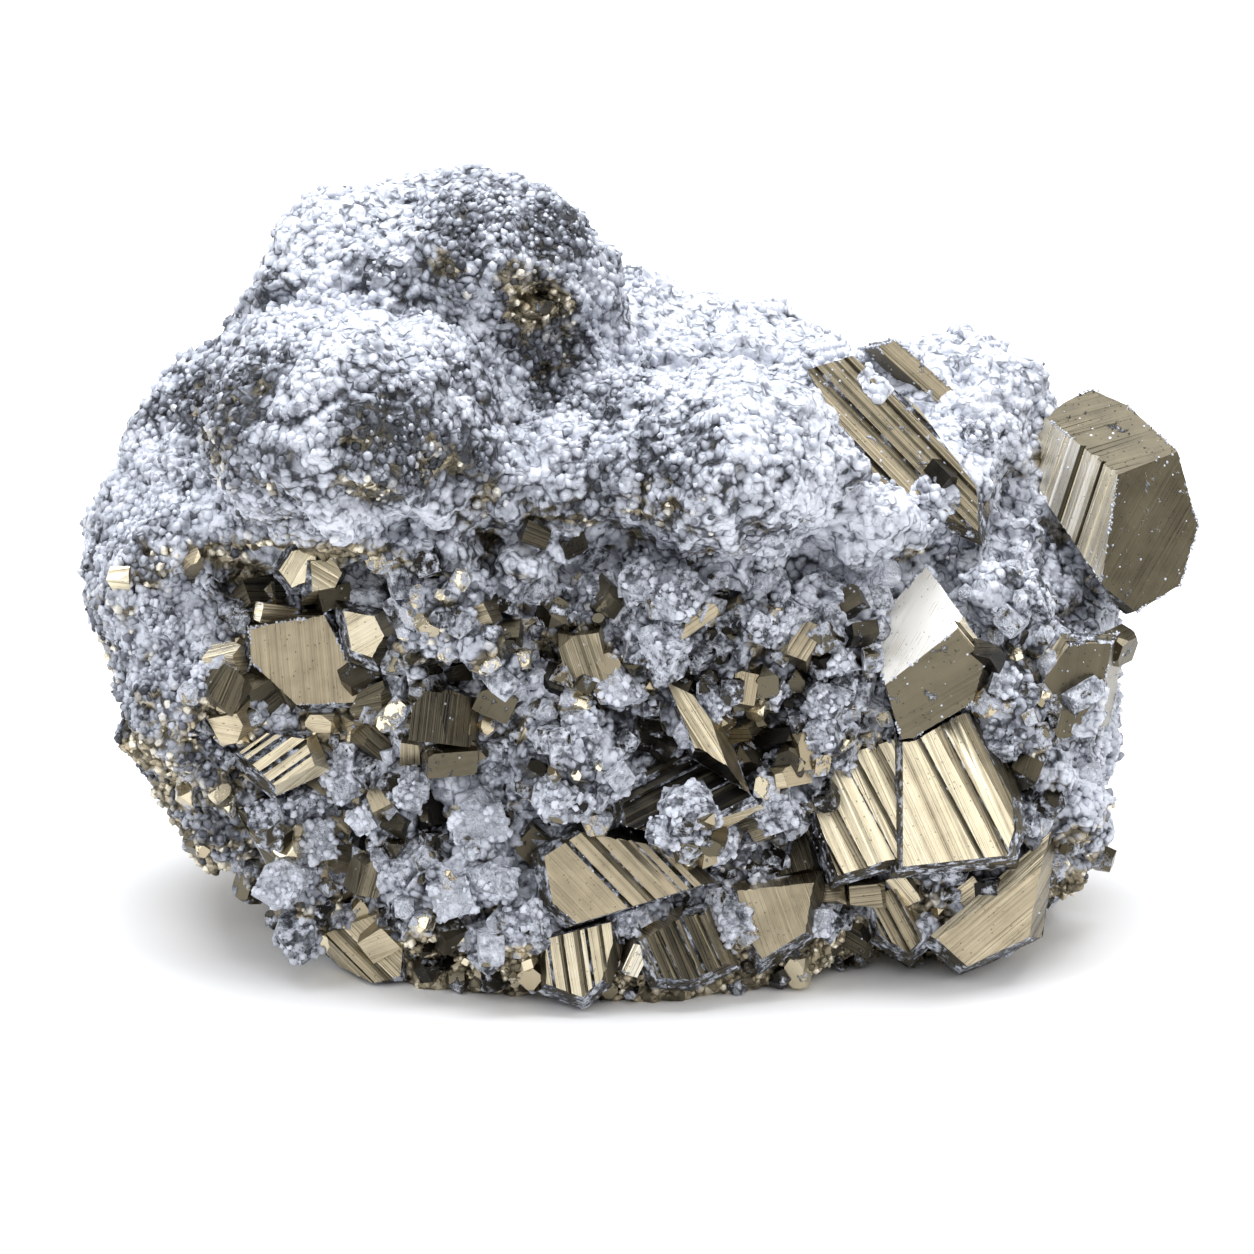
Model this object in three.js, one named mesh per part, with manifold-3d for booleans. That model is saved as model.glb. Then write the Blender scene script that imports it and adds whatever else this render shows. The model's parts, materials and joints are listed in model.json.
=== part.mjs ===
// Pyrite cluster: large striated pyrite crystals, half sunk in a grey mass of tiny crystals.
// Millimetres, +Z up. The side with the large crystals is the front, and is seen along +Y.

import * as THREE from 'three';
import { ConvexGeometry } from 'three/addons/geometries/ConvexGeometry.js';
import { SimplexNoise } from 'three/addons/math/SimplexNoise.js';
import { mergeVertices } from 'three/addons/utils/BufferGeometryUtils.js';
import Module from 'manifold-3d';

const wasm = await Module();
wasm.setup();

// The crystals are laid out as seen from the front, looking down a little.
// A place in that view is millimetres right, up and near, from the middle of the base.
const LOOK_DOWN = THREE.MathUtils.degToRad(20);
const RIGHT = new THREE.Vector3(1, 0, 0);
const UP = new THREE.Vector3(0, Math.sin(LOOK_DOWN), Math.cos(LOOK_DOWN));
const NEAR = new THREE.Vector3(0, -Math.cos(LOOK_DOWN), Math.sin(LOOK_DOWN));

// Driving dimensions
const SEAM = 0.3;              // gap between a large crystal and the mass that holds it
const FOOT = 0.4;              // how far the large crystals stay above the underside
const LUMP_BLEND = 5;          // how softly two lumps run together
const MASS_DETAIL = 11;        // fineness of the mass's facets
const MASS_HEART = new THREE.Vector3(-2, 4, 30);
const SEARCH_FROM = 110;       // starts outside the mass, when its surface is looked for
const SEARCH_STEP = 0.5;
const CRYSTAL_DEEP = 8;        // how far a large crystal reaches into the mass
const CRYSTAL_FLARE = 1.2;     // how far its hidden part is wider than its first face
const KNOB_ROUGHNESS = 0.3;
const KNOB_GRAIN = 2;          // how many bumps of noise lie across half a knob
const GROUND_WIDTH = 200;      // the block that cuts the mass off flat underneath
const GROUND_DEPTH = 40;
const SAME_POINT = 1e-4;       // points nearer than this are one point
const SMALL_SEED = 20;

// The grooves between ribs: their section, and how their widths and steps vary, as shares of the step
const GROOVE = {
  length: 60,
  depth: 0.35,
  above: 0.2,
  width: 0.2,
  widening: 0.12,
  taper: 0.7,
  nearest: 0.8,
  spread: 0.2,
  cycle: 3,
};
const WAVES = [
  { length: 17, height: 1.3 },
  { length: 7, height: 0.9 },
  { length: 4, height: 0.45 },
];

// The lumps of the mass: middle and half size, each as x, y, z
const LUMPS = {
  body: { at: [-2, 7, 26], half: [44, 32, 29] },
  top_left: { at: [-25.5, 1, 64], half: [13, 15, 11] },
  top_middle: { at: [-18, 0, 65.5], half: [12, 13, 11.6] },
  top_right: { at: [-11.5, -1, 66], half: [10.4, 12, 10] },
  top_back: { at: [-20, 12, 60], half: [16, 13, 11] },
  front_left: { at: [-28, -17, 57], half: [15, 14, 11.5] },
  middle: { at: [9.5, -15, 53], half: [13, 13, 9.5] },
  neck: { at: [-9, -10, 52], half: [12, 14, 9] },
  ridge: { at: [10, 14, 48.5], half: [15, 16, 9] },
  ridge_left: { at: [1, 12, 52.5], half: [9, 12, 9] },
  ridge_slope: { at: [24, 0, 46], half: [13, 18, 8] },
  right_shoulder: { at: [34, 10, 47.5], half: [8.5, 12, 10] },
  left_shoulder: { at: [-36, 6, 47], half: [13, 15, 12] },
  left_end: { at: [-41, 4, 36], half: [13.8, 18, 13.5] },
  low_left: { at: [-33.5, 2, 23], half: [17.8, 20, 17.5] },
  right_end: { at: [33, 0, 22], half: [15.5, 20, 19.5] },
  right_holder: { at: [40.5, 10, 35], half: [9.5, 12, 12] },
  low_right: { at: [31, -3, 9], half: [13, 18, 11] },
  front_foot: { at: [-2.5, -4, 6], half: [31.5, 23, 16] },
};

// A seeded source of numbers from 0 to 1, so that the part is the same each time
function seededRandom(seed) {
  let state = seed;
  return () => {
    state = (state + 0x6d2b79f5) | 0;
    let mixed = Math.imul(state ^ (state >>> 15), 1 | state);
    mixed = (mixed + Math.imul(mixed ^ (mixed >>> 7), 61 | mixed)) ^ mixed;
    return ((mixed ^ (mixed >>> 14)) >>> 0) / 4294967296;
  };
}

const noise = new SimplexNoise({ random: seededRandom(7) });

function fromFront(right, up, near) {
  return new THREE.Vector3()
    .addScaledVector(RIGHT, right)
    .addScaledVector(UP, up)
    .addScaledVector(NEAR, near);
}

// Distance to one lump, near enough: below zero inside it
function lumpDistance(point, { at, half }) {
  const offset = [point.x - at[0], point.y - at[1], point.z - at[2]];
  const reach = Math.hypot(...offset.map((value, axis) => value / half[axis]));
  const slope = Math.hypot(...offset.map((value, axis) => value / half[axis] ** 2));
  return slope === 0 ? -Math.min(...half) : (reach * (reach - 1)) / slope;
}

function blend(first, second) {
  const share = Math.max(LUMP_BLEND - Math.abs(first - second), 0) / LUMP_BLEND;
  return Math.min(first, second) - (share * share * LUMP_BLEND) / 4;
}

function massDistance(point) {
  return Object.values(LUMPS)
    .map((lump) => lumpDistance(point, lump))
    .reduce(blend);
}

function roughness(point) {
  return WAVES.reduce((sum, { length, height }) => (
    sum + height * noise.noise3d(point.x / length, point.y / length, point.z / length)
  ), 0);
}

// How far from the start the surface is met when coming in from outside
function surfaceReach(start, direction) {
  const point = new THREE.Vector3();
  let reach = SEARCH_FROM;
  while (reach > -SEARCH_FROM) {
    point.copy(start).addScaledVector(direction, reach);
    if (massDistance(point) < 0) {
      return reach;
    }
    reach -= SEARCH_STEP;
  }
  return 0;
}

function solidOf(geometry) {
  const bare = geometry.clone();
  bare.deleteAttribute('normal');
  bare.deleteAttribute('uv');
  const merged = mergeVertices(bare, SAME_POINT);
  return new wasm.Manifold(new wasm.Mesh({
    numProp: 3,
    vertProperties: new Float32Array(merged.attributes.position.array),
    triVerts: new Uint32Array(merged.index.array),
  }));
}

function geometryOf(solid) {
  const { vertProperties, triVerts } = solid.getMesh();
  const geometry = new THREE.BufferGeometry();
  geometry.setAttribute('position', new THREE.BufferAttribute(new Float32Array(vertProperties), 3));
  geometry.setIndex(new THREE.BufferAttribute(new Uint32Array(triVerts), 1));
  geometry.computeVertexNormals();
  return geometry;
}

// The mass: a ball whose points are moved out to the lumps' surface, then roughened
function massSolid() {
  const ball = new THREE.IcosahedronGeometry(1, MASS_DETAIL);
  ball.deleteAttribute('normal');
  ball.deleteAttribute('uv');
  const skin = mergeVertices(ball, SAME_POINT);
  const points = skin.attributes.position;
  const direction = new THREE.Vector3();
  const point = new THREE.Vector3();
  for (let i = 0; i < points.count; i += 1) {
    direction.fromBufferAttribute(points, i).normalize();
    const reach = surfaceReach(MASS_HEART, direction);
    point.copy(MASS_HEART).addScaledVector(direction, reach);
    point.addScaledVector(direction, roughness(point));
    points.setXYZ(i, point.x, point.y, point.z);
  }
  return solidOf(skin);
}

// A block as large as the part, under the plane on which the cluster rests
function groundBlock() {
  const block = new THREE.BoxGeometry(GROUND_WIDTH, GROUND_WIDTH, GROUND_DEPTH);
  block.translate(0, 0, -GROUND_DEPTH / 2);
  return solidOf(block);
}

function planeThrough(normal, point) {
  return { normal, offset: normal.dot(point) };
}

// The point of a plane that is seen at this place of the front view
function liftOnto(plane, [right, up]) {
  const point = fromFront(right, up, 0);
  const near = (plane.offset - plane.normal.dot(point)) / plane.normal.dot(NEAR);
  return point.addScaledVector(NEAR, near);
}

// A direction that is turned right and tipped up from straight at the viewer, in degrees
function facing([turnRight, tipUp]) {
  const yaw = THREE.MathUtils.degToRad(turnRight);
  const pitch = THREE.MathUtils.degToRad(tipUp);
  return fromFront(Math.sin(yaw) * Math.cos(pitch), Math.sin(pitch), Math.cos(yaw) * Math.cos(pitch));
}

// The faces of one crystal. The first face looks at the viewer, and each further one turns away
// from an earlier face by an angle, at an edge that runs between two places of the front view.
function crystalPlanes({ at, proud, look, edges, deep = CRYSTAL_DEEP }) {
  const near = surfaceReach(fromFront(at[0], at[1], 0), NEAR) + proud;
  const front = fromFront(at[0], at[1], near);
  const heart = front.clone().addScaledVector(NEAR, -deep / 2);
  const planes = [planeThrough(facing(look), front)];
  const sides = [];
  for (const [onto, from, to, turn] of edges) {
    const base = planes[onto];
    const start = liftOnto(base, from);
    const along = liftOnto(base, to).sub(start).normalize();
    const outward = along.cross(base.normal).normalize();
    if (outward.dot(heart.clone().sub(start)) > 0) {
      outward.negate();
    }
    const angle = THREE.MathUtils.degToRad(turn);
    const normal = base.normal.clone().multiplyScalar(Math.cos(angle));
    normal.addScaledVector(outward, Math.sin(angle));
    planes.push(planeThrough(normal, start));
    if (!edges.some(([later]) => later === planes.length - 1)) {
      const side = outward.addScaledVector(NEAR, -outward.dot(NEAR)).normalize();
      sides.push({ normal: side, offset: side.dot(start) + CRYSTAL_FLARE });
    }
  }
  planes.push(...sides);
  const back = front.clone().addScaledVector(NEAR, -deep);
  planes.push(planeThrough(NEAR.clone().negate(), back));
  planes.push({ normal: new THREE.Vector3(0, 0, -1), offset: -FOOT });
  return planes;
}

function isInside(point, planes, margin) {
  return planes.every(({ normal, offset }) => normal.dot(point) <= offset + margin);
}

// The corner where three planes meet, or null where they don't
function cornerOf(first, second, third) {
  const across = second.normal.clone().cross(third.normal);
  const scale = first.normal.dot(across);
  if (Math.abs(scale) < 1e-6) {
    return null;
  }
  return across.multiplyScalar(first.offset)
    .addScaledVector(third.normal.clone().cross(first.normal), second.offset)
    .addScaledVector(first.normal.clone().cross(second.normal), third.offset)
    .divideScalar(scale);
}

// The solid inside all the planes, with each plane moved out by the given amount
function solidInside(planes, grown = 0) {
  const moved = planes.map(({ normal, offset }) => ({ normal, offset: offset + grown }));
  const corners = [];
  for (let i = 0; i < moved.length; i += 1) {
    for (let j = i + 1; j < moved.length; j += 1) {
      for (let k = j + 1; k < moved.length; k += 1) {
        const corner = cornerOf(moved[i], moved[j], moved[k]);
        if (corner && isInside(corner, moved, SAME_POINT)) {
          corners.push(corner);
        }
      }
    }
  }
  return solidOf(new ConvexGeometry(corners));
}

// Grooves along one face of a crystal, at an angle given as it is seen from the front
function ribCutters(planes, { face, angle, at, from, to, step }) {
  const plane = planes[face];
  const lean = THREE.MathUtils.degToRad(angle);
  const start = liftOnto(plane, at);
  const along = liftOnto(plane, [at[0] + Math.cos(lean), at[1] + Math.sin(lean)]).sub(start).normalize();
  const across = plane.normal.clone().cross(along);
  const cutters = [];
  let side = from;
  let count = 0;
  while (side <= to) {
    const width = step * (GROOVE.width + GROOVE.widening * (count % GROOVE.cycle));
    const section = new THREE.Shape([
      new THREE.Vector2(-width, GROOVE.above),
      new THREE.Vector2(width, GROOVE.above),
      new THREE.Vector2(width * GROOVE.taper, -GROOVE.depth),
    ]);
    const settings = { depth: GROOVE.length, bevelEnabled: false, steps: 1 };
    const groove = new THREE.ExtrudeGeometry(section, settings);
    const place = new THREE.Matrix4().makeBasis(across, plane.normal, along);
    place.setPosition(start.clone().addScaledVector(along, -GROOVE.length / 2).addScaledVector(across, side));
    groove.applyMatrix4(place);
    cutters.push(solidOf(groove));
    count += 1;
    side += step * (GROOVE.nearest + GROOVE.spread * (count % GROOVE.cycle));
  }
  return cutters;
}

// The large crystals. Each has one or more bodies that grew into each other.
// at, proud: a place of the front view, and how far the first face stands out of the mass there.
// look: degrees that the first face is turned right and tipped up.
// edges: the earlier face that the edge is on, its two ends, and the angle turned there.
// ribs: grooves on a face, at an angle, from one side to the other, a step apart.
const BRIGHT = { color: 0xdccba5, roughness: 0.3, metalness: 0.9 };
const TAN = { color: 0xa5967a, roughness: 0.35, metalness: 0.9 };
const OLIVE = { color: 0x5f5748, roughness: 0.35, metalness: 0.9 };
const BLACK = { color: 0x2a2925, roughness: 0.3, metalness: 0.9 };

const CRYSTALS = {
  end_crystal: {
    finish: OLIVE,
    bodies: [{
      at: [50, 37], proud: 19, look: [24, -5], deep: 22,
      edges: [
        [0, [48.4, 43.4], [46.8, 32.5], 62],
        [0, [48.4, 43.4], [54.6, 45.8], 55],
        [2, [43.8, 51.0], [46.0, 52.0], 70],
        [2, [46.0, 52.0], [51.7, 49.4], 80],
        [2, [51.7, 49.4], [54.6, 45.8], 70],
        [0, [54.7, 44.8], [56.5, 38.3], 80],
        [0, [56.5, 38.3], [54.7, 32.4], 75],
        [0, [54.7, 32.4], [50.3, 29.8], 85],
        [0, [50.3, 29.8], [46.9, 32.4], 70],
        [1, [38.7, 46.9], [41.0, 41.1], 60],
        [1, [41.2, 37.2], [44.3, 33.5], 50],
        [1, [38.7, 46.9], [40.2, 48.2], 50],
        [2, [40.5, 48.6], [43.8, 51.0], 45],
      ],
      ribs: [{ face: 1, angle: -108, at: [43.5, 42], from: -1.5, to: 6, step: 1.5 }],
    }],
  },
  lower_end_crystal: {
    finish: OLIVE,
    bodies: [{
      at: [44, 22], proud: 3.2, look: [15, -12],
      edges: [
        [0, [43.5, 26.5], [47.8, 26.7], 60],
        [0, [47.8, 26.7], [46.2, 18.1], 62],
        [0, [46.2, 18.1], [42.5, 17.1], 75],
        [0, [42.5, 17.1], [40.7, 20.3], 65],
        [0, [40.7, 20.3], [41.1, 23.2], 70],
        [0, [41.1, 23.2], [43.5, 26.5], 55],
      ],
    }],
  },
  arrow_crystal: {
    finish: TAN,
    bodies: [{
      at: [30, 22], proud: 5, look: [10, -22], deep: 14,
      edges: [
        [0, [32.3, 28.1], [23.6, 21.3], 62],
        [0, [32.3, 28.1], [35.0, 24.6], 60],
        [0, [35.0, 24.6], [34.2, 21.9], 60],
        [0, [33.6, 20.6], [28.0, 17.3], 65],
        [0, [28.0, 17.3], [24.2, 16.9], 70],
        [0, [23.4, 21.1], [24.2, 16.9], 65],
        [1, [24.5, 28.9], [29.7, 34.9], 70],
        [1, [24.5, 28.9], [24.8, 24.0], 60],
        [1, [29.7, 34.9], [32.3, 28.1], 50],
      ],
      ribs: [{ face: 2, angle: -50, at: [34, 27], from: -2, to: 5, step: 1.6 }],
    }],
  },
  bright_striated_crystal: {
    finish: BRIGHT,
    bodies: [
      {
        at: [26, 11], proud: 4.5, look: [-8, 5],
        edges: [
          [0, [20.6, 15.4], [31.6, 18.9], 70],
          [0, [31.6, 18.9], [34.3, 13.0], 75],
          [0, [34.3, 13.0], [27.2, 5.7], 75],
          [0, [27.2, 5.7], [20.6, 3.7], 80],
          [0, [20.6, 3.7], [17.4, 12.8], 65],
          [0, [17.4, 12.8], [20.6, 15.4], 60],
        ],
        ribs: [{ face: 0, angle: -62, at: [26, 11], from: -8, to: 8, step: 2.2 }],
      },
      {
        at: [34, 11], proud: 5.4, look: [-2, 2],
        edges: [
          [0, [31.0, 19.2], [33.5, 19.7], 65],
          [0, [33.5, 19.7], [37.6, 11.6], 70],
          [0, [37.6, 11.6], [38.0, 8.3], 65],
          [0, [38.0, 8.3], [37.2, 5.7], 65],
          [0, [37.2, 5.7], [27.0, 4.6], 80],
          [0, [27.0, 4.6], [27.0, 12.0], 70],
        ],
        ribs: [{ face: 0, angle: -62, at: [34, 11], from: -2, to: 4, step: 2.2 }],
      },
    ],
  },
  front_wedge_crystal: {
    finish: TAN,
    bodies: [{
      at: [-1, 3], proud: 4.5, look: [5, 0],
      edges: [
        [0, [-5.2, -1.0], [7.1, 2.8], 85],
        [0, [-5.2, -1.0], [-7.6, 0.9], 70],
        [0, [-7.6, 0.9], [-8.5, 5.6], 65],
        [0, [-8.5, 5.6], [-4.8, 8.0], 65],
        [0, [-4.8, 8.0], [3.2, 6.6], 75],
        [0, [3.2, 6.6], [7.1, 2.8], 70],
      ],
      ribs: [{ face: 0, angle: -46, at: [-1, 3], from: -1, to: 6, step: 1.9 }],
    }],
  },
  black_striated_crystal: {
    finish: BLACK,
    bodies: [
      {
        at: [5, 12], proud: 3.8, look: [10, 20],
        edges: [
          [0, [-0.8, 12.8], [6.8, 16.7], 65],
          [0, [6.8, 16.7], [12.0, 11.6], 65],
          [0, [11.9, 10.9], [8.7, 9.3], 58],
          [0, [8.7, 9.3], [0.0, 5.5], 75],
          [0, [0.0, 5.5], [-0.8, 12.8], 65],
          [3, [14.2, 8.5], [13.5, 6.0], 60],
          [3, [13.5, 6.0], [9.5, 5.6], 65],
        ],
        ribs: [{ face: 0, angle: 27, at: [5, 12], from: -4, to: 4, step: 2.2 }],
      },
      {
        at: [6.5, 19], proud: 3, look: [-5, 12],
        edges: [
          [0, [3.7, 22.8], [6.2, 21.6], 75],
          [0, [6.2, 21.6], [8.0, 19.2], 75],
          [0, [8.0, 19.2], [9.6, 14.6], 75],
          [0, [9.6, 14.6], [6.4, 16.4], 75],
          [0, [6.4, 16.4], [3.7, 22.8], 75],
        ],
      },
    ],
  },
  window_crystal: {
    finish: TAN,
    bodies: [{
      at: [-32, 25], proud: 1.8, look: [-2, 0],
      edges: [
        [0, [-37.7, 28.2], [-30.3, 29.5], 75],
        [0, [-30.3, 29.5], [-25.8, 20.9], 70],
        [0, [-25.8, 20.9], [-33.0, 20.6], 70],
        [0, [-33.0, 20.6], [-37.5, 24.8], 65],
        [0, [-37.5, 24.8], [-37.7, 28.2], 75],
      ],
    }],
  },
  gold_twin: {
    finish: BRIGHT,
    bodies: [
      {
        at: [-33, 34.3], proud: 3.4, look: [-15, -5], deep: 7,
        edges: [
          [0, [-34.8, 33.9], [-33.5, 35.8], 65],
          [0, [-33.5, 35.8], [-31.2, 36.2], 65],
          [0, [-31.2, 36.2], [-31.0, 33.2], 60],
          [0, [-31.0, 33.2], [-33.5, 32.2], 65],
          [0, [-33.5, 32.2], [-34.8, 33.9], 65],
        ],
      },
      {
        at: [-30, 33.6], proud: 3.4, look: [12, 5], deep: 7,
        edges: [
          [0, [-31.6, 34.8], [-29.5, 35.2], 65],
          [0, [-29.5, 35.2], [-28.5, 33.7], 65],
          [0, [-28.5, 33.7], [-29.2, 32.2], 65],
          [0, [-29.2, 32.2], [-31.4, 31.8], 65],
          [0, [-31.4, 31.8], [-31.6, 34.8], 60],
        ],
      },
    ],
  },
  small_gold_crystal: {
    finish: BRIGHT,
    bodies: [{
      at: [-26.3, 27.6], proud: 3, look: [-10, 8], deep: 7,
      edges: [
        [0, [-28.3, 29.9], [-25.3, 29.4], 65],
        [0, [-25.3, 29.4], [-24.3, 27.4], 65],
        [0, [-24.3, 27.4], [-25.5, 25.3], 65],
        [0, [-25.5, 25.3], [-27.6, 26.0], 65],
        [0, [-27.6, 26.0], [-28.3, 29.9], 65],
      ],
    }],
  },
  left_gold_crystal: {
    finish: BRIGHT,
    bodies: [{
      at: [-35, 15.6], proud: 3, look: [-15, 5], deep: 9,
      edges: [
        [0, [-38.7, 15.9], [-36.0, 17.8], 65],
        [0, [-36.0, 17.8], [-32.2, 17.2], 65],
        [0, [-32.2, 17.2], [-31.2, 14.6], 65],
        [0, [-31.2, 14.6], [-35.2, 12.6], 70],
        [0, [-35.2, 12.6], [-38.7, 15.9], 65],
      ],
      ribs: [{ face: 0, angle: 35, at: [-35, 15.6], from: -2, to: 3, step: 1.3 }],
    }],
  },
  left_plate_crystal: {
    finish: TAN,
    bodies: [{
      at: [-31, 7], proud: 3.2, look: [8, -3],
      edges: [
        [0, [-37.4, 9.6], [-32.0, -0.6], 65],
        [0, [-37.4, 9.6], [-32.5, 12.6], 60],
        [0, [-32.5, 12.6], [-26.4, 9.4], 55],
        [0, [-26.4, 9.4], [-25.2, 4.0], 65],
        [0, [-25.2, 4.0], [-32.0, -0.6], 65],
      ],
    }],
  },
  low_left_prism: {
    finish: TAN,
    bodies: [{
      at: [-26.5, -3.6], proud: 2.6, look: [-10, 0], deep: 8,
      edges: [
        [0, [-30.4, -2.2], [-24.2, 0.2], 65],
        [0, [-24.2, 0.2], [-22.4, -1.4], 65],
        [0, [-22.4, -1.4], [-22.8, -6.3], 65],
        [0, [-22.8, -6.3], [-25.5, -7.1], 65],
        [0, [-25.5, -7.1], [-30.4, -2.2], 65],
      ],
      ribs: [{ face: 0, angle: -45, at: [-27, -4], from: -2.5, to: 1, step: 1.2 }],
    }],
  },
  low_middle_crystal: {
    finish: BRIGHT,
    bodies: [{
      at: [-5, -4], proud: 3, look: [-5, 0], deep: 9,
      edges: [
        [0, [-8.4, -2.6], [-1.9, -0.9], 70],
        [0, [-1.9, -0.9], [-1.7, -3.0], 65],
        [0, [-1.7, -3.0], [-2.8, -6.6], 65],
        [0, [-2.8, -6.6], [-4.8, -8.3], 65],
        [0, [-4.8, -8.3], [-8.3, -7.0], 65],
        [0, [-8.3, -7.0], [-8.4, -2.6], 65],
      ],
      ribs: [{ face: 0, angle: -82, at: [-5, -4], from: -3, to: 3, step: 1.3 }],
    }],
  },
  low_dark_crystal: {
    finish: OLIVE,
    bodies: [{
      at: [5, -3.4], proud: 2.8, look: [5, -5], deep: 9,
      edges: [
        [0, [1.1, -2.8], [5.2, -0.4], 70],
        [0, [5.2, -0.4], [7.4, -0.2], 65],
        [0, [7.4, -0.2], [9.5, -5.0], 65],
        [0, [9.5, -5.0], [6.0, -6.6], 65],
        [0, [6.0, -6.6], [2.8, -6.4], 65],
        [0, [2.8, -6.4], [1.1, -2.8], 65],
      ],
      ribs: [{ face: 0, angle: -65, at: [5, -3.4], from: -3, to: 3, step: 1.4 }],
    }],
  },
  low_tan_crystal: {
    finish: TAN,
    bodies: [{
      at: [14.4, -0.4], proud: 2.6, look: [4, -4], deep: 9,
      edges: [
        [0, [10.6, 2.2], [18.2, 3.0], 70],
        [0, [18.2, 3.0], [17.4, -1.9], 65],
        [0, [17.4, -1.9], [13.1, -4.6], 65],
        [0, [13.1, -4.6], [11.5, -2.0], 65],
        [0, [11.5, -2.0], [10.6, 2.2], 65],
      ],
    }],
  },
  low_ribbed_prism: {
    finish: TAN,
    bodies: [{
      at: [26.2, -0.6], proud: 2.6, look: [0, -4], deep: 8,
      edges: [
        [0, [23.7, 1.6], [26.4, 2.4], 65],
        [0, [26.4, 2.4], [28.8, -2.8], 65],
        [0, [28.8, -2.8], [27.6, -4.0], 65],
        [0, [27.6, -4.0], [24.8, -2.2], 65],
        [0, [24.8, -2.2], [23.7, 1.6], 65],
      ],
      ribs: [{ face: 0, angle: -62, at: [26.2, -0.6], from: -1.5, to: 2, step: 1.1 }],
    }],
  },
  low_right_wedge: {
    finish: TAN,
    bodies: [{
      at: [36, -0.6], proud: 3.4, look: [12, -10],
      edges: [
        [0, [31.0, -2.2], [40.8, 4.6], 50],
        [0, [40.8, 4.6], [39.6, -2.5], 65],
        [0, [39.6, -2.5], [33.5, -5.4], 70],
        [0, [33.5, -5.4], [30.6, -2.8], 65],
        [1, [33.5, 0.9], [39.0, 5.6], 60],
      ],
    }],
  },
  ridge_blade: {
    finish: OLIVE,
    bodies: [{
      at: [27, 46.5], proud: 2.2, look: [15, 22],
      edges: [
        [0, [17.5, 53.8], [22.0, 55.2], 75],
        [0, [22.0, 55.2], [28.6, 50.0], 75],
        [0, [28.6, 50.0], [34.3, 42.2], 70],
        [0, [34.3, 42.2], [34.5, 37.8], 65],
        [0, [34.5, 37.8], [24.0, 42.6], 75],
        [0, [24.0, 42.6], [17.5, 53.8], 70],
      ],
      ribs: [{ face: 0, angle: -46, at: [27, 46.5], from: -4, to: 4, step: 2.4 }],
    }],
  },
  upper_blade: {
    finish: OLIVE,
    bodies: [{
      at: [28.5, 53], proud: 2.6, look: [10, 15], deep: 7,
      edges: [
        [0, [24.4, 56.2], [26.4, 56.8], 75],
        [0, [26.4, 56.8], [32.2, 51.8], 75],
        [0, [32.2, 51.8], [30.6, 50.6], 75],
        [0, [30.6, 50.6], [24.4, 56.2], 80],
      ],
    }],
  },
  brown_crystal: {
    finish: TAN,
    bodies: [
      {
        at: [-18.2, 19.4], proud: 2.2, look: [5, 4], deep: 7,
        edges: [
          [0, [-20.6, 20.6], [-18.0, 22.2], 65],
          [0, [-18.0, 22.2], [-15.6, 21.2], 65],
          [0, [-15.6, 21.2], [-15.8, 17.6], 70],
          [0, [-15.8, 17.6], [-19.8, 17.0], 70],
          [0, [-19.8, 17.0], [-20.6, 20.6], 65],
        ],
      },
      {
        at: [-17.6, 15.6], proud: 2, look: [-5, -15], deep: 7,
        edges: [
          [0, [-20.4, 16.8], [-16.0, 17.4], 65],
          [0, [-16.0, 17.4], [-14.2, 15.4], 65],
          [0, [-14.2, 15.4], [-16.0, 14.1], 70],
          [0, [-16.0, 14.1], [-19.8, 14.4], 70],
          [0, [-19.8, 14.4], [-20.4, 16.8], 65],
        ],
      },
    ],
  },
};

// Knobs of the grey mass between the crystals: place in the front view, radius, and how far
// the middle stands out of the mass
const KNOBS = [
  { at: [-17, 29.5], radius: 6.0, proud: 0.5 },
  { at: [-9.5, 33], radius: 4.6, proud: 0 },
  { at: [-6, 15.5], radius: 5.2, proud: 0.5 },
  { at: [-15.5, 4.5], radius: 5.6, proud: 0.5 },
  { at: [-10, -2], radius: 4.0, proud: 0 },
  { at: [3, 28.5], radius: 4.8, proud: 0 },
  { at: [13, 25], radius: 3.6, proud: 0.5 },
  { at: [20.5, 28.5], radius: 6.2, proud: 0.5 },
  { at: [15, 13], radius: 3.0, proud: 2 },
  { at: [18.5, 18], radius: 3.4, proud: 2 },
  { at: [5.5, 8.4], radius: 3.8, proud: 3.6 },
  { at: [35.5, 30], radius: 5.4, proud: 0.5 },
  { at: [37, 20.5], radius: 3.6, proud: 1 },
  { at: [42.5, 11], radius: 5.0, proud: 0 },
  { at: [-43, 21], radius: 7.0, proud: 0 },
  { at: [-22.5, 9.5], radius: 3.6, proud: 1 },
];

// The small crystals that grew as part of the mass, as places of the front view.
// sink: share of its size that a crystal's middle lies below the surface.
// clear: least distance to a large crystal. nearest: none grows further back than this.
// stretch: range of each side against the size. eightSided: share with eight faces, and their half size.
const SMALL_CRYSTALS = {
  count: 32,
  tries: 12,
  right: [-42, 42],
  up: [-5, 37],
  size: [2.2, 5.0],
  smaller: [0.6, 1.0],
  stretch: [[0.8, 1.2], [0.8, 1.2], [0.9, 1.4]],
  turn: [0, Math.PI],
  eightSided: 0.3,
  eightSidedHalf: 0.8,
  sink: 0.12,
  clear: 1.2,
  nearest: 5,
};

// The point of the rough surface that is seen at this place of the front view
function surfaceSeenAt(right, up) {
  const start = fromFront(right, up, 0);
  const place = start.clone().addScaledVector(NEAR, surfaceReach(start, NEAR));
  return place.addScaledVector(NEAR, roughness(place));
}

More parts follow.
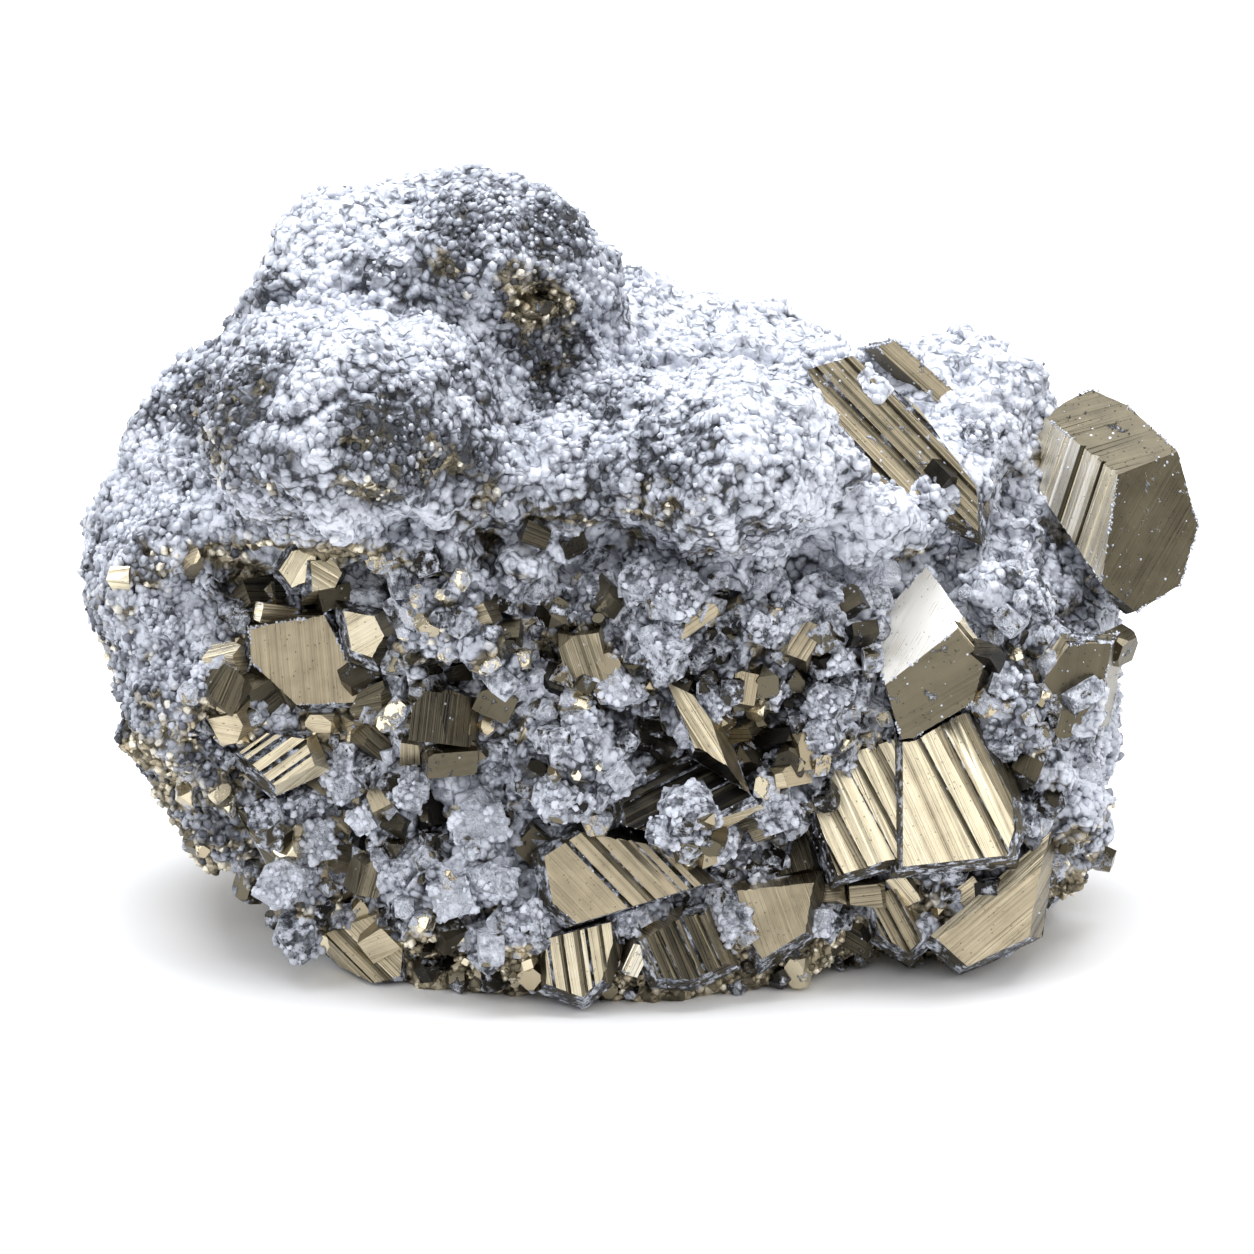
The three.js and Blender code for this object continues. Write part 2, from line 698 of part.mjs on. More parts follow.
function knobSolid({ at, radius, proud }) {
  const ball = new THREE.IcosahedronGeometry(1, 1);
  const points = ball.attributes.position;
  const middle = surfaceSeenAt(...at).addScaledVector(NEAR, proud - radius / 2);
  const point = new THREE.Vector3();
  for (let i = 0; i < points.count; i += 1) {
    point.fromBufferAttribute(points, i).normalize();
    const sample = point.clone().multiplyScalar(KNOB_GRAIN);
    const bump = 1 + KNOB_ROUGHNESS * noise.noise3d(sample.x + at[0], sample.y + at[1], sample.z);
    point.multiplyScalar(radius * bump).add(middle);
    points.setXYZ(i, point.x, point.y, point.z);
  }
  return solidOf(ball);
}

function smallCrystalSolids(planeSets) {
  const random = seededRandom(SMALL_SEED);
  const between = ([low, high]) => low + (high - low) * random();
  const solids = [];
  let tries = 0;
  while (solids.length < SMALL_CRYSTALS.count && tries < SMALL_CRYSTALS.count * SMALL_CRYSTALS.tries) {
    tries += 1;
    const right = between(SMALL_CRYSTALS.right);
    const up = between(SMALL_CRYSTALS.up);
    const size = between(SMALL_CRYSTALS.size) * between(SMALL_CRYSTALS.smaller);
    const stretch = SMALL_CRYSTALS.stretch.map(between);
    const turn = new THREE.Euler(...[0, 1, 2].map(() => between(SMALL_CRYSTALS.turn)));
    const eightSided = random() < SMALL_CRYSTALS.eightSided;
    const place = surfaceSeenAt(right, up);
    const hidden = place.dot(NEAR) < SMALL_CRYSTALS.nearest || place.z < size;
    place.addScaledVector(NEAR, -size * SMALL_CRYSTALS.sink);
    const crowded = planeSets.some((planes) => isInside(place, planes, SMALL_CRYSTALS.clear));
    if (!hidden && !crowded) {
      const shape = eightSided
        ? new THREE.OctahedronGeometry(size * SMALL_CRYSTALS.eightSidedHalf)
        : new THREE.BoxGeometry(size, size, size);
      shape.scale(...stretch);
      shape.applyMatrix4(new THREE.Matrix4().makeRotationFromEuler(turn));
      shape.translate(place.x, place.y, place.z);
      solids.push(solidOf(shape));
    }
  }
  return solids;
}

function join(solids) {
  return solids.reduce((whole, solid) => whole.add(solid));
}

// The largest body of a solid: chips that the cuts leave loose fall away
function largestBody(solid) {
  return solid.decompose().reduce((best, body) => (body.volume() > best.volume() ? body : best));
}

function crystalSolid(bodies, planeSets) {
  const shaped = bodies.map((body, index) => {
    const cutters = (body.ribs ?? []).flatMap((rib) => ribCutters(planeSets[index], rib));
    return cutters.reduce((solid, cutter) => solid.subtract(cutter), solidInside(planeSets[index]));
  });
  return largestBody(join(shaped));
}

// A crystal gives way, by the seam, to the ones listed before it
function keepClear(solid, neighbours) {
  const grown = neighbours
    .map((planes) => solidInside(planes, SEAM))
    .filter((neighbour) => !solid.intersect(neighbour).isEmpty());
  return largestBody(grown.reduce((rest, neighbour) => rest.subtract(neighbour), solid));
}

function namedMesh(name, solid, finish) {
  const mesh = new THREE.Mesh(geometryOf(solid), new THREE.MeshStandardMaterial(finish));
  mesh.name = name;
  return mesh;
}

function buildCluster() {
  const cluster = new THREE.Group();
  const allPlanes = [];
  let mass = massSolid();
  const placed = Object.entries(CRYSTALS).map(([name, { finish, bodies }]) => {
    const planeSets = bodies.map(crystalPlanes);
    allPlanes.push(...planeSets);
    return { name, finish, bodies, planeSets };
  });
  mass = join([mass, ...KNOBS.map(knobSolid), ...smallCrystalSolids(allPlanes)]).subtract(groundBlock());
  for (const planes of allPlanes) {
    mass = mass.subtract(solidInside(planes, SEAM));
  }
  cluster.add(namedMesh('matrix', largestBody(mass), { color: 0x9a9da8, roughness: 0.8, metalness: 0.1 }));
  placed.forEach(({ name, finish, bodies, planeSets }, index) => {
    const neighbours = placed.slice(0, index).flatMap((earlier) => earlier.planeSets);
    cluster.add(namedMesh(name, keepClear(crystalSolid(bodies, planeSets), neighbours), finish));
  });
  return cluster;
}

// The origin goes to the middle of the space that the cluster takes up, at its underside
const cluster = buildCluster();
const middle = new THREE.Box3().setFromObject(cluster).getCenter(new THREE.Vector3());
cluster.position.set(-middle.x, -middle.y, 0);

export default cluster;
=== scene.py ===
"""Pyrite cluster: striated pyrite crystals in a grey crust of tiny crystals, on a pale floor.

Lengths in the settings are in metres, as everywhere in Blender. The front view is the one with
the large crystals: places in it are millimetres to the right and up from the middle of the base.
"""

import bisect
import json
import math
import random

import bmesh
import bpy
import numpy as np
from mathutils import Euler, Matrix, Vector, noise
from mathutils.bvhtree import BVHTree


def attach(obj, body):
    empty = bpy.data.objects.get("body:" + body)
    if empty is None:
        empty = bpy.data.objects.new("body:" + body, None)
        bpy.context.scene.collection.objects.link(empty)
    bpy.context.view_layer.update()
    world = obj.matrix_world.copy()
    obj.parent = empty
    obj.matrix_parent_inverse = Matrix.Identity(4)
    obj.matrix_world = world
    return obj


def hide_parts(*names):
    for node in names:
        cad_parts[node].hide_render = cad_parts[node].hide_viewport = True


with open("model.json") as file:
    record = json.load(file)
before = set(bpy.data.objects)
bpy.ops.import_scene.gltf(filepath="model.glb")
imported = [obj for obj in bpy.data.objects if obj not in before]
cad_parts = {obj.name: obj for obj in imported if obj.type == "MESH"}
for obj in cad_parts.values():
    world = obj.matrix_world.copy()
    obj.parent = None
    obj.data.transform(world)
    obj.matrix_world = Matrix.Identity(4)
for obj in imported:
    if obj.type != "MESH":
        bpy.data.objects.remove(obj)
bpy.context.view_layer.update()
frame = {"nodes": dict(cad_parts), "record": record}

bl_info = {
    "name": "Pyrite cluster",
    "version": (1, 0, 0),
    "blender": (4, 5, 0),
    "location": "View3D > Sidebar > Pyrite",
    "description": "Builds a pyrite cluster around its solids, and its studio",
    "category": "Object",
}

MM = 0.001
LOOK_DOWN = math.radians(20)
RIGHT = Vector((1, 0, 0))
UP = Vector((0, math.sin(LOOK_DOWN), math.cos(LOOK_DOWN)))
NEAR = Vector((0, -math.cos(LOOK_DOWN), math.sin(LOOK_DOWN)))
FRONT_VIEW = Matrix((RIGHT, UP, NEAR)).transposed()
# The place on the floor from which the front view counts, and how far up the camera aims, in millimetres
FRONT_VIEW_MIDDLE = Vector((-1.05, -4.25, 0)) * MM
VIEW_HEIGHT = 28.3
# How far before the middle of the base a look along the front view starts, in millimetres
LOOK_START = 200
MERGE_DISTANCE = 1e-6
UNWRAPPED = "OFBake"
GOLDEN_ANGLE = math.radians(137.5)

# Linear colours of the finishes
WHITE_GOLD = (1.0, 0.97, 0.90)
PALE_GOLD = (0.90, 0.80, 0.58)
CREAM = (0.90, 0.84, 0.70)
TAN = (0.46, 0.39, 0.27)
OLIVE = (0.15, 0.13, 0.088)
SOOT = (0.014, 0.013, 0.012)
FROST = (0.64, 0.665, 0.74)
STEEL = (0.38, 0.40, 0.455)
SLATE = (0.13, 0.138, 0.165)
GRAIN_DARK = (0.035, 0.038, 0.045)
# The darkest brown: painted shade in the crust's hollows and seams, and the dark end of the grains' own
# tones
GAP_BROWN = (0.05, 0.04, 0.024)
PYRITE_STOPS = ((0.0, SOOT), (0.32, OLIVE), (0.6, TAN), (0.82, PALE_GOLD), (1.0, WHITE_GOLD))


def from_front(right, up, near=0.0):
    """The point at this place of the front view, given in millimetres."""
    return FRONT_VIEW_MIDDLE + (RIGHT * right + UP * up + NEAR * near) * MM


def length(name, description, millimetres):
    """A setting that holds a length."""
    return bpy.props.FloatProperty(
        name=name, description=description, default=millimetres * MM, unit="LENGTH")


# The wires and nodes of a material

class Wire:
    """A socket of a material, on which ordinary sums can be written."""

    def __init__(self, shader, socket):
        self.shader = shader
        self.socket = socket

    def maths(self, operation, *values):
        return self.shader.node("ShaderNodeMath", {"operation": operation}, list(values))[0]

    def __add__(self, other):
        return self.maths("ADD", self, other)

    def __radd__(self, other):
        return self.maths("ADD", other, self)

    def __sub__(self, other):
        return self.maths("SUBTRACT", self, other)

    def __rsub__(self, other):
        return self.maths("SUBTRACT", other, self)

    def __mul__(self, other):
        return self.maths("MULTIPLY", self, other)

    def __rmul__(self, other):
        return self.maths("MULTIPLY", other, self)

    def step(self, low, high):
        """0 below low, 1 above high, and smooth between them."""
        settings = {"interpolation_type": "SMOOTHSTEP"}
        values = {"Value": self, "From Min": low, "From Max": high}
        return self.shader.node("ShaderNodeMapRange", settings, values)[0]

    def clamped(self):
        return self.shader.node("ShaderNodeClamp", {}, [self])[0]


class Shader:
    """A new material, its nodes made by one method."""

    def __init__(self, name):
        self.material = bpy.data.materials.new(name)
        self.material.use_nodes = True
        self.tree = self.material.node_tree
        self.tree.nodes.clear()
        self.place = self.node("ShaderNodeTexCoord")["Object"]

    def node(self, kind, settings=None, inputs=None):
        made = self.tree.nodes.new(kind)
        for key, value in (settings or {}).items():
            if key == "stops":
                set_stops(made.color_ramp, value)
            else:
                setattr(made, key, value)
        pairs = enumerate(inputs) if isinstance(inputs, list) else (inputs or {}).items()
        for key, value in pairs:
            if isinstance(value, Wire):
                self.tree.links.new(value.socket, made.inputs[key])
            elif value is not None:
                made.inputs[key].default_value = value
        return Outputs(self, made)

    def mix(self, factor, first, second):
        settings = {"data_type": "RGBA", "clamp_factor": True}
        return self.node("ShaderNodeMix", settings, {0: factor, 6: first, 7: second})[2]

    def ramp(self, value, stops):
        """The colour that a row of stops gives for this value."""
        return self.node("ShaderNodeValToRGB", {"stops": stops}, [value])["Color"]

    def noise(self, size, detail, rough=0.55):
        """Noise whose lumps are about this size, in metres."""
        values = {"Vector": self.place, "Scale": 1 / size, "Detail": detail, "Roughness": rough}
        return self.node("ShaderNodeTexNoise", {}, values)["Fac"]

    def cells(self, size):
        """Cells about this size: the distance from a cell's middle, and its colour."""
        return self.node("ShaderNodeTexVoronoi", {}, {"Vector": self.place, "Scale": 1 / size})

    def stones(self, size):
        """Stones of this size: how far a point is from its stone's middle, and the stone's own tone."""
        made = self.cells(size)
        return made["Distance"], self.node("ShaderNodeSeparateColor", {}, [made["Color"]])["Red"]

    def line_noise(self, place, size):
        """Noise along one line, so that it draws parallel lines of about this width."""
        values = {"W": place, "Scale": 1 / size, "Detail": 2.0, "Roughness": 0.6}
        return self.node("ShaderNodeTexNoise", {"noise_dimensions": "1D"}, values)["Fac"]

    def attribute(self, name):
        return self.node("ShaderNodeAttribute", {"attribute_name": name})["Fac"]

    def bump(self, height, distance):
        return self.node("ShaderNodeBump", {}, {"Height": height, "Distance": distance})[0]

    def finish(self, **values):
        """The material, its surface made of these values: base_color goes to Base Color."""
        named = {key.replace("_", " ").title(): value for key, value in values.items()}
        surface = self.node("ShaderNodeBsdfPrincipled", {}, named)[0]
        self.node("ShaderNodeOutputMaterial", {}, {"Surface": surface})
        return self.material


class Outputs:
    """The outputs of a node, by name or number, as wires."""

    def __init__(self, shader, made):
        self.shader = shader
        self.made = made

    def __getitem__(self, key):
        return Wire(self.shader, self.made.outputs[key])


def opaque(colour):
    return (*colour, 1.0)


def set_stops(ramp, stops):
    while len(ramp.elements) < len(stops):
        ramp.elements.new(1.0)
    for element, (position, colour) in zip(ramp.elements, stops):
        element.position = position
        element.color = opaque(colour)


# Materials

def crust_material():
    """The crust: pale stones a millimetre wide with painted shade at their rims and seams, painted
    highlights on the knobs' tops, and olive and brass where it is bare.
    """
    shader = Shader("crust_ground")
    dust = shader.attribute("dust")
    brass = shader.attribute("brass")
    relief = shader.attribute("relief")
    away, tone = shader.stones(0.001)
    sugar = shader.noise(0.0005, 2.0)
    stony = shader.noise(0.006, 2.0).step(0.42, 0.58) * 0.7 + 0.3
    winding = shader.noise(0.0024, 2.0, 0.6) - 0.5
    veins = shader.node("ShaderNodeMath", {"operation": "ABSOLUTE"}, [winding])[0].step(0.05, 0.01)
    seam = away.step(0.5, 0.85) * stony
    clouds = shader.noise(0.006, 4.0, 0.6).step(0.36, 0.64)
    # Painted light: high relief (the knobs' tops) is paler and low relief (the hollows) darker
    light = dust * 0.75 + relief * 0.5 + tone * stony * 0.35 + sugar * 0.3 + clouds * 0.2
    # Painted shade: each stone darkens from its middle towards its rim, and its seams and the winding
    # grooves are darker
    pale = (light - away * stony * 0.5 - seam * 0.4 - veins * (1 - stony) * 0.5 - 0.27).clamped()
    grey = shader.ramp(pale, [(0.0, GRAIN_DARK), (0.2, SLATE), (0.5, STEEL), (0.85, FROST)])
    # Painted shade: the bare crust turns darker brown in the hollows and seams
    bare = (relief * 0.6 + tone * 0.5 + sugar * 0.3 - seam * 0.5 - 0.1).clamped()
    warm = shader.ramp(bare, [(0.0, GAP_BROWN), (0.35, OLIVE), (0.65, TAN), (0.95, CREAM)])
    warmth = (brass * 1.1 + 0.38 - relief * 0.5 - dust * 0.5).step(0.25, 0.6)
    colour = shader.mix(warmth, grey, warm)
    metallic = (0.35 - pale * 0.5 + warmth * 0.4).clamped()
    roughness = (0.42 + pale * 0.2 + sugar * 0.1).clamped()
    height = sugar * 0.4 - away * away * stony * 1.3 - veins * 0.3
    return shader.finish(base_color=colour, metallic=metallic, roughness=roughness,
                         normal=shader.bump(height, 0.0004))


def grain_material():
    """The grains. Each has its own tone, and the dust with its painted highlight and the brassy patches run
    over many of them. Sides that face up are painted paler.
    """
    shader = Shader("crust_grains")
    tone = shader.attribute("tone")
    dust = shader.attribute("dust")
    brass = shader.attribute("brass")
    facing = shader.node("ShaderNodeNewGeometry")["Normal"]
    upward = shader.node("ShaderNodeSeparateXYZ", {}, [facing])["Z"]
    sugar = shader.noise(0.0005, 2.0)
    clouds = shader.noise(0.007, 4.0, 0.6).step(0.36, 0.64)
    # Painted highlight: the sides of each grain that face up are paler
    pale = (tone * 0.6 + sugar * 0.3 + dust * 0.75 + upward * 0.15 + clouds * 0.2 - 0.42).clamped()
    grey = shader.ramp(pale, [(0.0, GRAIN_DARK), (0.25, SLATE), (0.55, STEEL), (0.95, FROST)])
    bare = (tone * 0.8 + sugar * 0.3).clamped()
    warm = shader.ramp(bare, [(0.0, GAP_BROWN), (0.3, OLIVE), (0.6, TAN), (0.9, CREAM)])
    warmth = (brass * 1.2 + tone * 0.5 - dust * 0.35 - 0.35).step(0.1, 0.5)
    colour = shader.mix(warmth, grey, warm)
    metallic = (0.5 - dust * 0.5 + warmth * 0.3).clamped()
    roughness = (0.3 + dust * 0.25 + sugar * 0.15).clamped()
    return shader.finish(base_color=colour, metallic=metallic, roughness=roughness,
                         normal=shader.bump(sugar, 0.00015))


def druse(shader, whiteness):
    """The colour and the height of the sugary frost on crystals, each frost grain painted darker towards
    its rim.
    """
    away, tone = shader.stones(0.0006)
    sugar = shader.noise(0.0013, 4.0, 0.7)
    blobs = sugar.step(0.42, 0.6)
    # Painted shade: darker towards each grain's rim. On the large crystals the whiteness is the face's
    # brightness, which is partly painted reflection
    white = (whiteness * 0.7 + blobs * 0.75 + tone * 0.3 - away * 0.45 + 0.05).clamped()
    colour = shader.ramp(white, [(0.0, GRAIN_DARK), (0.2, SLATE), (0.5, STEEL), (0.8, FROST)])
    return colour, sugar * 2.0 + blobs - away


def pyrite_material(name):
    """Metallic pyrite. Each face carries its brightness (partly its own tone, partly painted reflection),
    its lines, the way across them and its frost.
    """
    shader = Shader(name)
    bright = shader.attribute("bright")
    lines = shader.attribute("lines")
    ribs = shader.node("ShaderNodeAttribute", {"attribute_name": "across"})["Vector"]
    product = shader.node("ShaderNodeVectorMath", {"operation": "DOT_PRODUCT"}, [shader.place, ribs])
    across = product["Value"]
    fine = shader.line_noise(across, 0.00016).step(0.3, 0.56)
    broad = shader.line_noise(across, 0.0009).step(0.3, 0.5)
    clouds = shader.noise(0.003, 5.0, 0.6).step(0.3, 0.7)
    # The face's brightness is partly painted reflection: high where a face would catch a light, low where
    # it would mirror dark surroundings
    tone = bright - lines * (0.26 - fine * 0.32) - lines * (0.2 - broad * 0.26) + (clouds - 0.5) * 0.07
    metal = shader.ramp(tone.clamped(), PYRITE_STOPS)
    pits = shader.cells(0.0007)["Distance"].step(0.15, 0.1)
    specks = shader.cells(0.0011)["Distance"].step(0.13, 0.1) * shader.noise(0.004, 2.0).step(0.5, 0.6)
    pitted = shader.mix(pits * 0.45, metal, opaque(SOOT))
    frost = shader.attribute("frost")
    cover = (shader.noise(0.0016, 4.0, 0.65) + frost * 0.5).step(0.76, 0.84)
    sugar, sugar_height = druse(shader, bright)
    speckled = shader.mix((specks * frost * 3.0).clamped(), pitted, opaque(FROST))
    dusted = shader.mix(cover, speckled, sugar)
    # Faces painted white as the glare of a reflected light lose their metal, so that the painted white
    # shows
    metallic = (0.97 - cover * 0.8 - specks * 0.4 - bright.step(0.96, 1.02) * 0.5).clamped()
    roughness = (0.24 + fine * 0.08 + clouds * 0.08 + cover * 0.4).clamped()
    height = (fine + broad * 2.0) * lines - pits * 0.7 + cover * (sugar_height * 6.0 + 3.0)
    return shader.finish(base_color=dusted, metallic=metallic, roughness=roughness,
                         normal=shader.bump(height, 0.00005))


def block_material():
    """The small crystals: some gold, some nearly black, most under the same frost as the crust."""
    shader = Shader("small_pyrite")
    tone = shader.attribute("tone")
    dust = shader.attribute("dust")
    metal = shader.ramp(tone * tone * 0.85, PYRITE_STOPS)
    frosted = (shader.noise(0.0016, 4.0, 0.6) + dust * 0.35 - tone * 0.1).step(0.5, 0.6)
    sugar, height = druse(shader, tone * 0.9 + dust * 0.4 - 0.05)
    colour = shader.mix(frosted, metal, sugar)
    metallic = (0.95 - frosted * 0.75).clamped()
    roughness = (0.22 + frosted * 0.35).clamped()
    return shader.finish(base_color=colour, metallic=metallic, roughness=roughness,
                         normal=shader.bump(height * frosted, 0.00025))


def stage_material(name, colour):
    shader = Shader(name)
    tone = shader.noise(0.4, 2.0).step(0.2, 0.8)
    shade = shader.mix(tone, opaque(colour), opaque(tuple(value * 0.99 for value in colour)))
    return shader.finish(base_color=shade, roughness=0.9)


# Meshes

def new_object(name, mesh):
    made = bpy.data.objects.new(name, mesh)
    bpy.context.scene.collection.objects.link(made)
    return made


def drop_object(piece):
    mesh = piece.data
    bpy.data.objects.remove(piece)
    bpy.data.meshes.remove(mesh)


def settle(piece):
    """Works out the piece's modifiers, so that its mesh is a plain one."""
    graph = bpy.context.evaluated_depsgraph_get()
    mesh = bpy.data.meshes.new_from_object(piece.evaluated_get(graph), depsgraph=graph)
    old = piece.data
    piece.modifiers.clear()
    piece.data = mesh
    bpy.data.meshes.remove(old)


def remesh(piece, step):
    """Gives a piece even squares of about this side."""
    even = piece.modifiers.new("even", "REMESH")
    even.mode = "VOXEL"
    even.voxel_size = step
    settle(piece)


def merged_copy(node):
    """A copy of a CAD node's solid with its shared corners merged, as a bmesh."""
    shape = bmesh.new()
    shape.from_mesh(frame["nodes"][node].data)
    bmesh.ops.remove_doubles(shape, verts=shape.verts, dist=MERGE_DISTANCE)
    return shape


def cut_off(shape, place, outward):
    """Cuts off what lies beyond a plane, and closes the cut."""
    geom = shape.verts[:] + shape.edges[:] + shape.faces[:]
    bmesh.ops.bisect_plane(shape, geom=geom, plane_co=place, plane_no=outward, clear_outer=True)
    bmesh.ops.holes_fill(shape, edges=[edge for edge in shape.edges if edge.is_boundary])


def to_piece(name, shape, material):
    mesh = bpy.data.meshes.new(name)
    shape.to_mesh(mesh)
    shape.free()
    mesh.materials.clear()
    mesh.materials.append(material)
    return new_object(name, mesh)


def give(piece, slot, *nodes):
    """Places a finished piece in the frame: on the root body, with the solids it stands for hidden. The
    slot is not used.
    """
    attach(piece, "root")
    if nodes:
        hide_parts(*nodes)


def crystal_nodes():
    """The names of the large crystals: every solid but the grey mass."""
    return [name for name in frame["nodes"] if name != "matrix"]


def crystals_tree():
    """All the large crystals in one search tree."""
    verts, faces = [], []
    for name in crystal_nodes():
        mesh = frame["nodes"][name].data
        faces.extend([index + len(verts) for index in face.vertices] for face in mesh.polygons)
        verts.extend(vertex.co.copy() for vertex in mesh.vertices)
    return BVHTree.FromPolygons(verts, faces)


# Geometry node trees

class Geometry:
    """A geometry node tree under construction, with named inputs."""

    def __init__(self, name, inputs):
        self.tree = bpy.data.node_groups.new(name, "GeometryNodeTree")
        face = self.tree.interface
        face.new_socket("Geometry", in_out="INPUT", socket_type="NodeSocketGeometry")
        self.sockets = {}
        for label, (kind, default) in inputs.items():
            socket = face.new_socket(label, in_out="INPUT", socket_type=kind)
            socket.default_value = default
            self.sockets[label] = socket.identifier
        face.new_socket("Geometry", in_out="OUTPUT", socket_type="NodeSocketGeometry")
        self.start = self.tree.nodes.new("NodeGroupInput")

    def input(self, label):
        return self.start.outputs[label]

    def node(self, kind, settings=None, inputs=None):
        made = self.tree.nodes.new(kind)
        for key, value in (settings or {}).items():
            setattr(made, key, value)
        for key, value in (inputs or {}).items():
            if isinstance(value, bpy.types.NodeSocket):
                self.tree.links.new(value, made.inputs[key])
            elif isinstance(value, list):
                for link in value:
                    self.tree.links.new(link, made.inputs[key])
            else:
                made.inputs[key].default_value = value
        return made

    def maths(self, operation, first, second):
        return self.node("ShaderNodeMath", {"operation": operation}, {0: first, 1: second}).outputs[0]

    def close(self, geometry):
        end = self.tree.nodes.new("NodeGroupOutput")
        self.tree.links.new(geometry, end.inputs[0])

    def put_on(self, piece, **values):
        """Runs the tree on a piece with these inputs, and keeps the result as its mesh."""
        modifier = piece.modifiers.new(self.tree.name, "NODES")
        modifier.node_group = self.tree
        for label, value in values.items():
            modifier[self.sockets[label]] = value
        settle(piece)


def scatter_tree(name, shapes, material, on_points=False):
    """Puts small shapes on a mesh's faces or points, each with its tone and its cell of the unwrapping."""
    geo = Geometry(name, {
        "Spacing": ("NodeSocketFloat", 0.0006),
        "Density": ("NodeSocketFloat", 3.0e6),
        "Smallest": ("NodeSocketFloat", 0.0005),
        "Largest": ("NodeSocketFloat", 0.0011),
        "Seed": ("NodeSocketInt", 1),
        "Cells": ("NodeSocketFloat", 120.0),
        "Mask": ("NodeSocketString", "open"),
    })
    if on_points:
        points = geo.node("GeometryNodeMeshToPoints", {}, {"Mesh": geo.input("Geometry")}).outputs[0]
    else:
        mask = geo.node("GeometryNodeInputNamedAttribute", {"data_type": "FLOAT"}, {
            "Name": geo.input("Mask"),
        })
        points = geo.node("GeometryNodeDistributePointsOnFaces", {"distribute_method": "POISSON"}, {
            "Mesh": geo.input("Geometry"),
            "Distance Min": geo.input("Spacing"),
            "Density Max": geo.input("Density"),
            "Density Factor": mask.outputs["Attribute"],
            "Seed": geo.input("Seed"),
        }).outputs["Points"]
    kinds = geo.node("GeometryNodeJoinGeometry", {}, {0: [
        geo.node("GeometryNodeObjectInfo", {}, {"Object": shape, "As Instance": True}).outputs["Geometry"]
        for shape in shapes
    ]})
    turn = geo.node("FunctionNodeRandomValue", {"data_type": "FLOAT_VECTOR"}, {
        0: (0.0, 0.0, 0.0), 1: (math.tau,) * 3, "Seed": 2,
    })
    size = geo.node("FunctionNodeRandomValue", {"data_type": "FLOAT"}, {
        2: geo.input("Smallest"), 3: geo.input("Largest"), "Seed": 3,
    })
    placed = geo.node("GeometryNodeInstanceOnPoints", {}, {
        "Points": points,
        "Instance": kinds.outputs[0],
        "Pick Instance": True,
        "Rotation": turn.outputs[0],
        "Scale": size.outputs[1],
    })
    tone = geo.node("FunctionNodeRandomValue", {"data_type": "FLOAT"}, {2: 0.0, 3: 1.0, "Seed": 4})
    toned = geo.node("GeometryNodeStoreNamedAttribute", {"data_type": "FLOAT", "domain": "INSTANCE"}, {
        "Geometry": placed.outputs[0], "Name": "tone", "Value": tone.outputs[1],
    })
    index = geo.node("GeometryNodeInputIndex").outputs[0]
    column = geo.maths("MODULO", index, geo.input("Cells"))
    row = geo.maths("FLOOR", geo.maths("DIVIDE", index, geo.input("Cells")), 0.0)
    corner = geo.node("ShaderNodeCombineXYZ", {}, {0: column, 1: row}).outputs[0]
    on_each = {"data_type": "FLOAT_VECTOR", "domain": "INSTANCE"}
    numbered = geo.node("GeometryNodeStoreNamedAttribute", on_each, {
        "Geometry": toned.outputs[0], "Name": "cell", "Value": corner,
    })
    solid = geo.node("GeometryNodeRealizeInstances", {}, {"Geometry": numbered.outputs[0]})
    cell = geo.node("GeometryNodeInputNamedAttribute", {"data_type": "FLOAT_VECTOR"}, {"Name": "cell"})
    local = geo.node("GeometryNodeInputNamedAttribute", {"data_type": "FLOAT_VECTOR"}, {"Name": UNWRAPPED})
    shifted = geo.node("ShaderNodeVectorMath", {"operation": "ADD"}, {
        0: cell.outputs["Attribute"], 1: local.outputs["Attribute"],
    })
    share = geo.maths("DIVIDE", 1.0, geo.input("Cells"))
    inside = geo.node("ShaderNodeVectorMath", {"operation": "SCALE"}, {
        0: shifted.outputs[0], "Scale": share,
    })
    mapped = geo.node("GeometryNodeStoreNamedAttribute", {"data_type": "FLOAT2", "domain": "CORNER"}, {
        "Geometry": solid.outputs[0], "Name": UNWRAPPED, "Value": inside.outputs[0],
    })
    finished = geo.node("GeometryNodeSetMaterial", {}, {
        "Geometry": mapped.outputs[0], "Material": material,
    })
    geo.close(finished.outputs[0])
    return geo


def grain_shape(name, seed, corners, stretch):
    """A small rounded grain, about a unit across, unwrapped face by face."""
    rng = random.Random(seed)
    shape = bmesh.new()
    for number in range(corners):
        height = 1 - 2 * (number + 0.5) / corners
        turn = number * GOLDEN_ANGLE + rng.uniform(-0.3, 0.3)
        ring = math.sqrt(1 - height * height)
        spot = Vector((ring * math.cos(turn), ring * math.sin(turn), height)) * rng.uniform(0.44, 0.55)
        shape.verts.new([value * factor for value, factor in zip(spot, stretch)])
    hull = bmesh.ops.convex_hull(shape, input=shape.verts)
    inner = dict.fromkeys(hull["geom_interior"] + hull["geom_unused"])
    bmesh.ops.delete(shape, geom=list(inner), context="VERTS")
    bmesh.ops.recalc_face_normals(shape, faces=shape.faces)
    unwrap_chip(shape)
    for face in shape.faces:
        face.smooth = True
    return to_piece(name, shape, None)


# How far a cube's corner is from its middle
CUBE_CORNER = math.sqrt(0.75)


def crystal_shape(name, cut, stretch):
    """A cube whose corners are cut off, about a unit across: the smaller crystals' form."""
    shape = bmesh.new()
    bmesh.ops.create_cube(shape, size=1.0)
    for corner in [Vector((x, y, z)) for x in (-1, 1) for y in (-1, 1) for z in (-1, 1)]:
        outward = corner.normalized()
        cut_off(shape, outward * (CUBE_CORNER - cut), outward)
    bmesh.ops.scale(shape, vec=stretch, verts=shape.verts)
    bmesh.ops.recalc_face_normals(shape, faces=shape.faces)
    unwrap_chip(shape)
    return to_piece(name, shape, None)


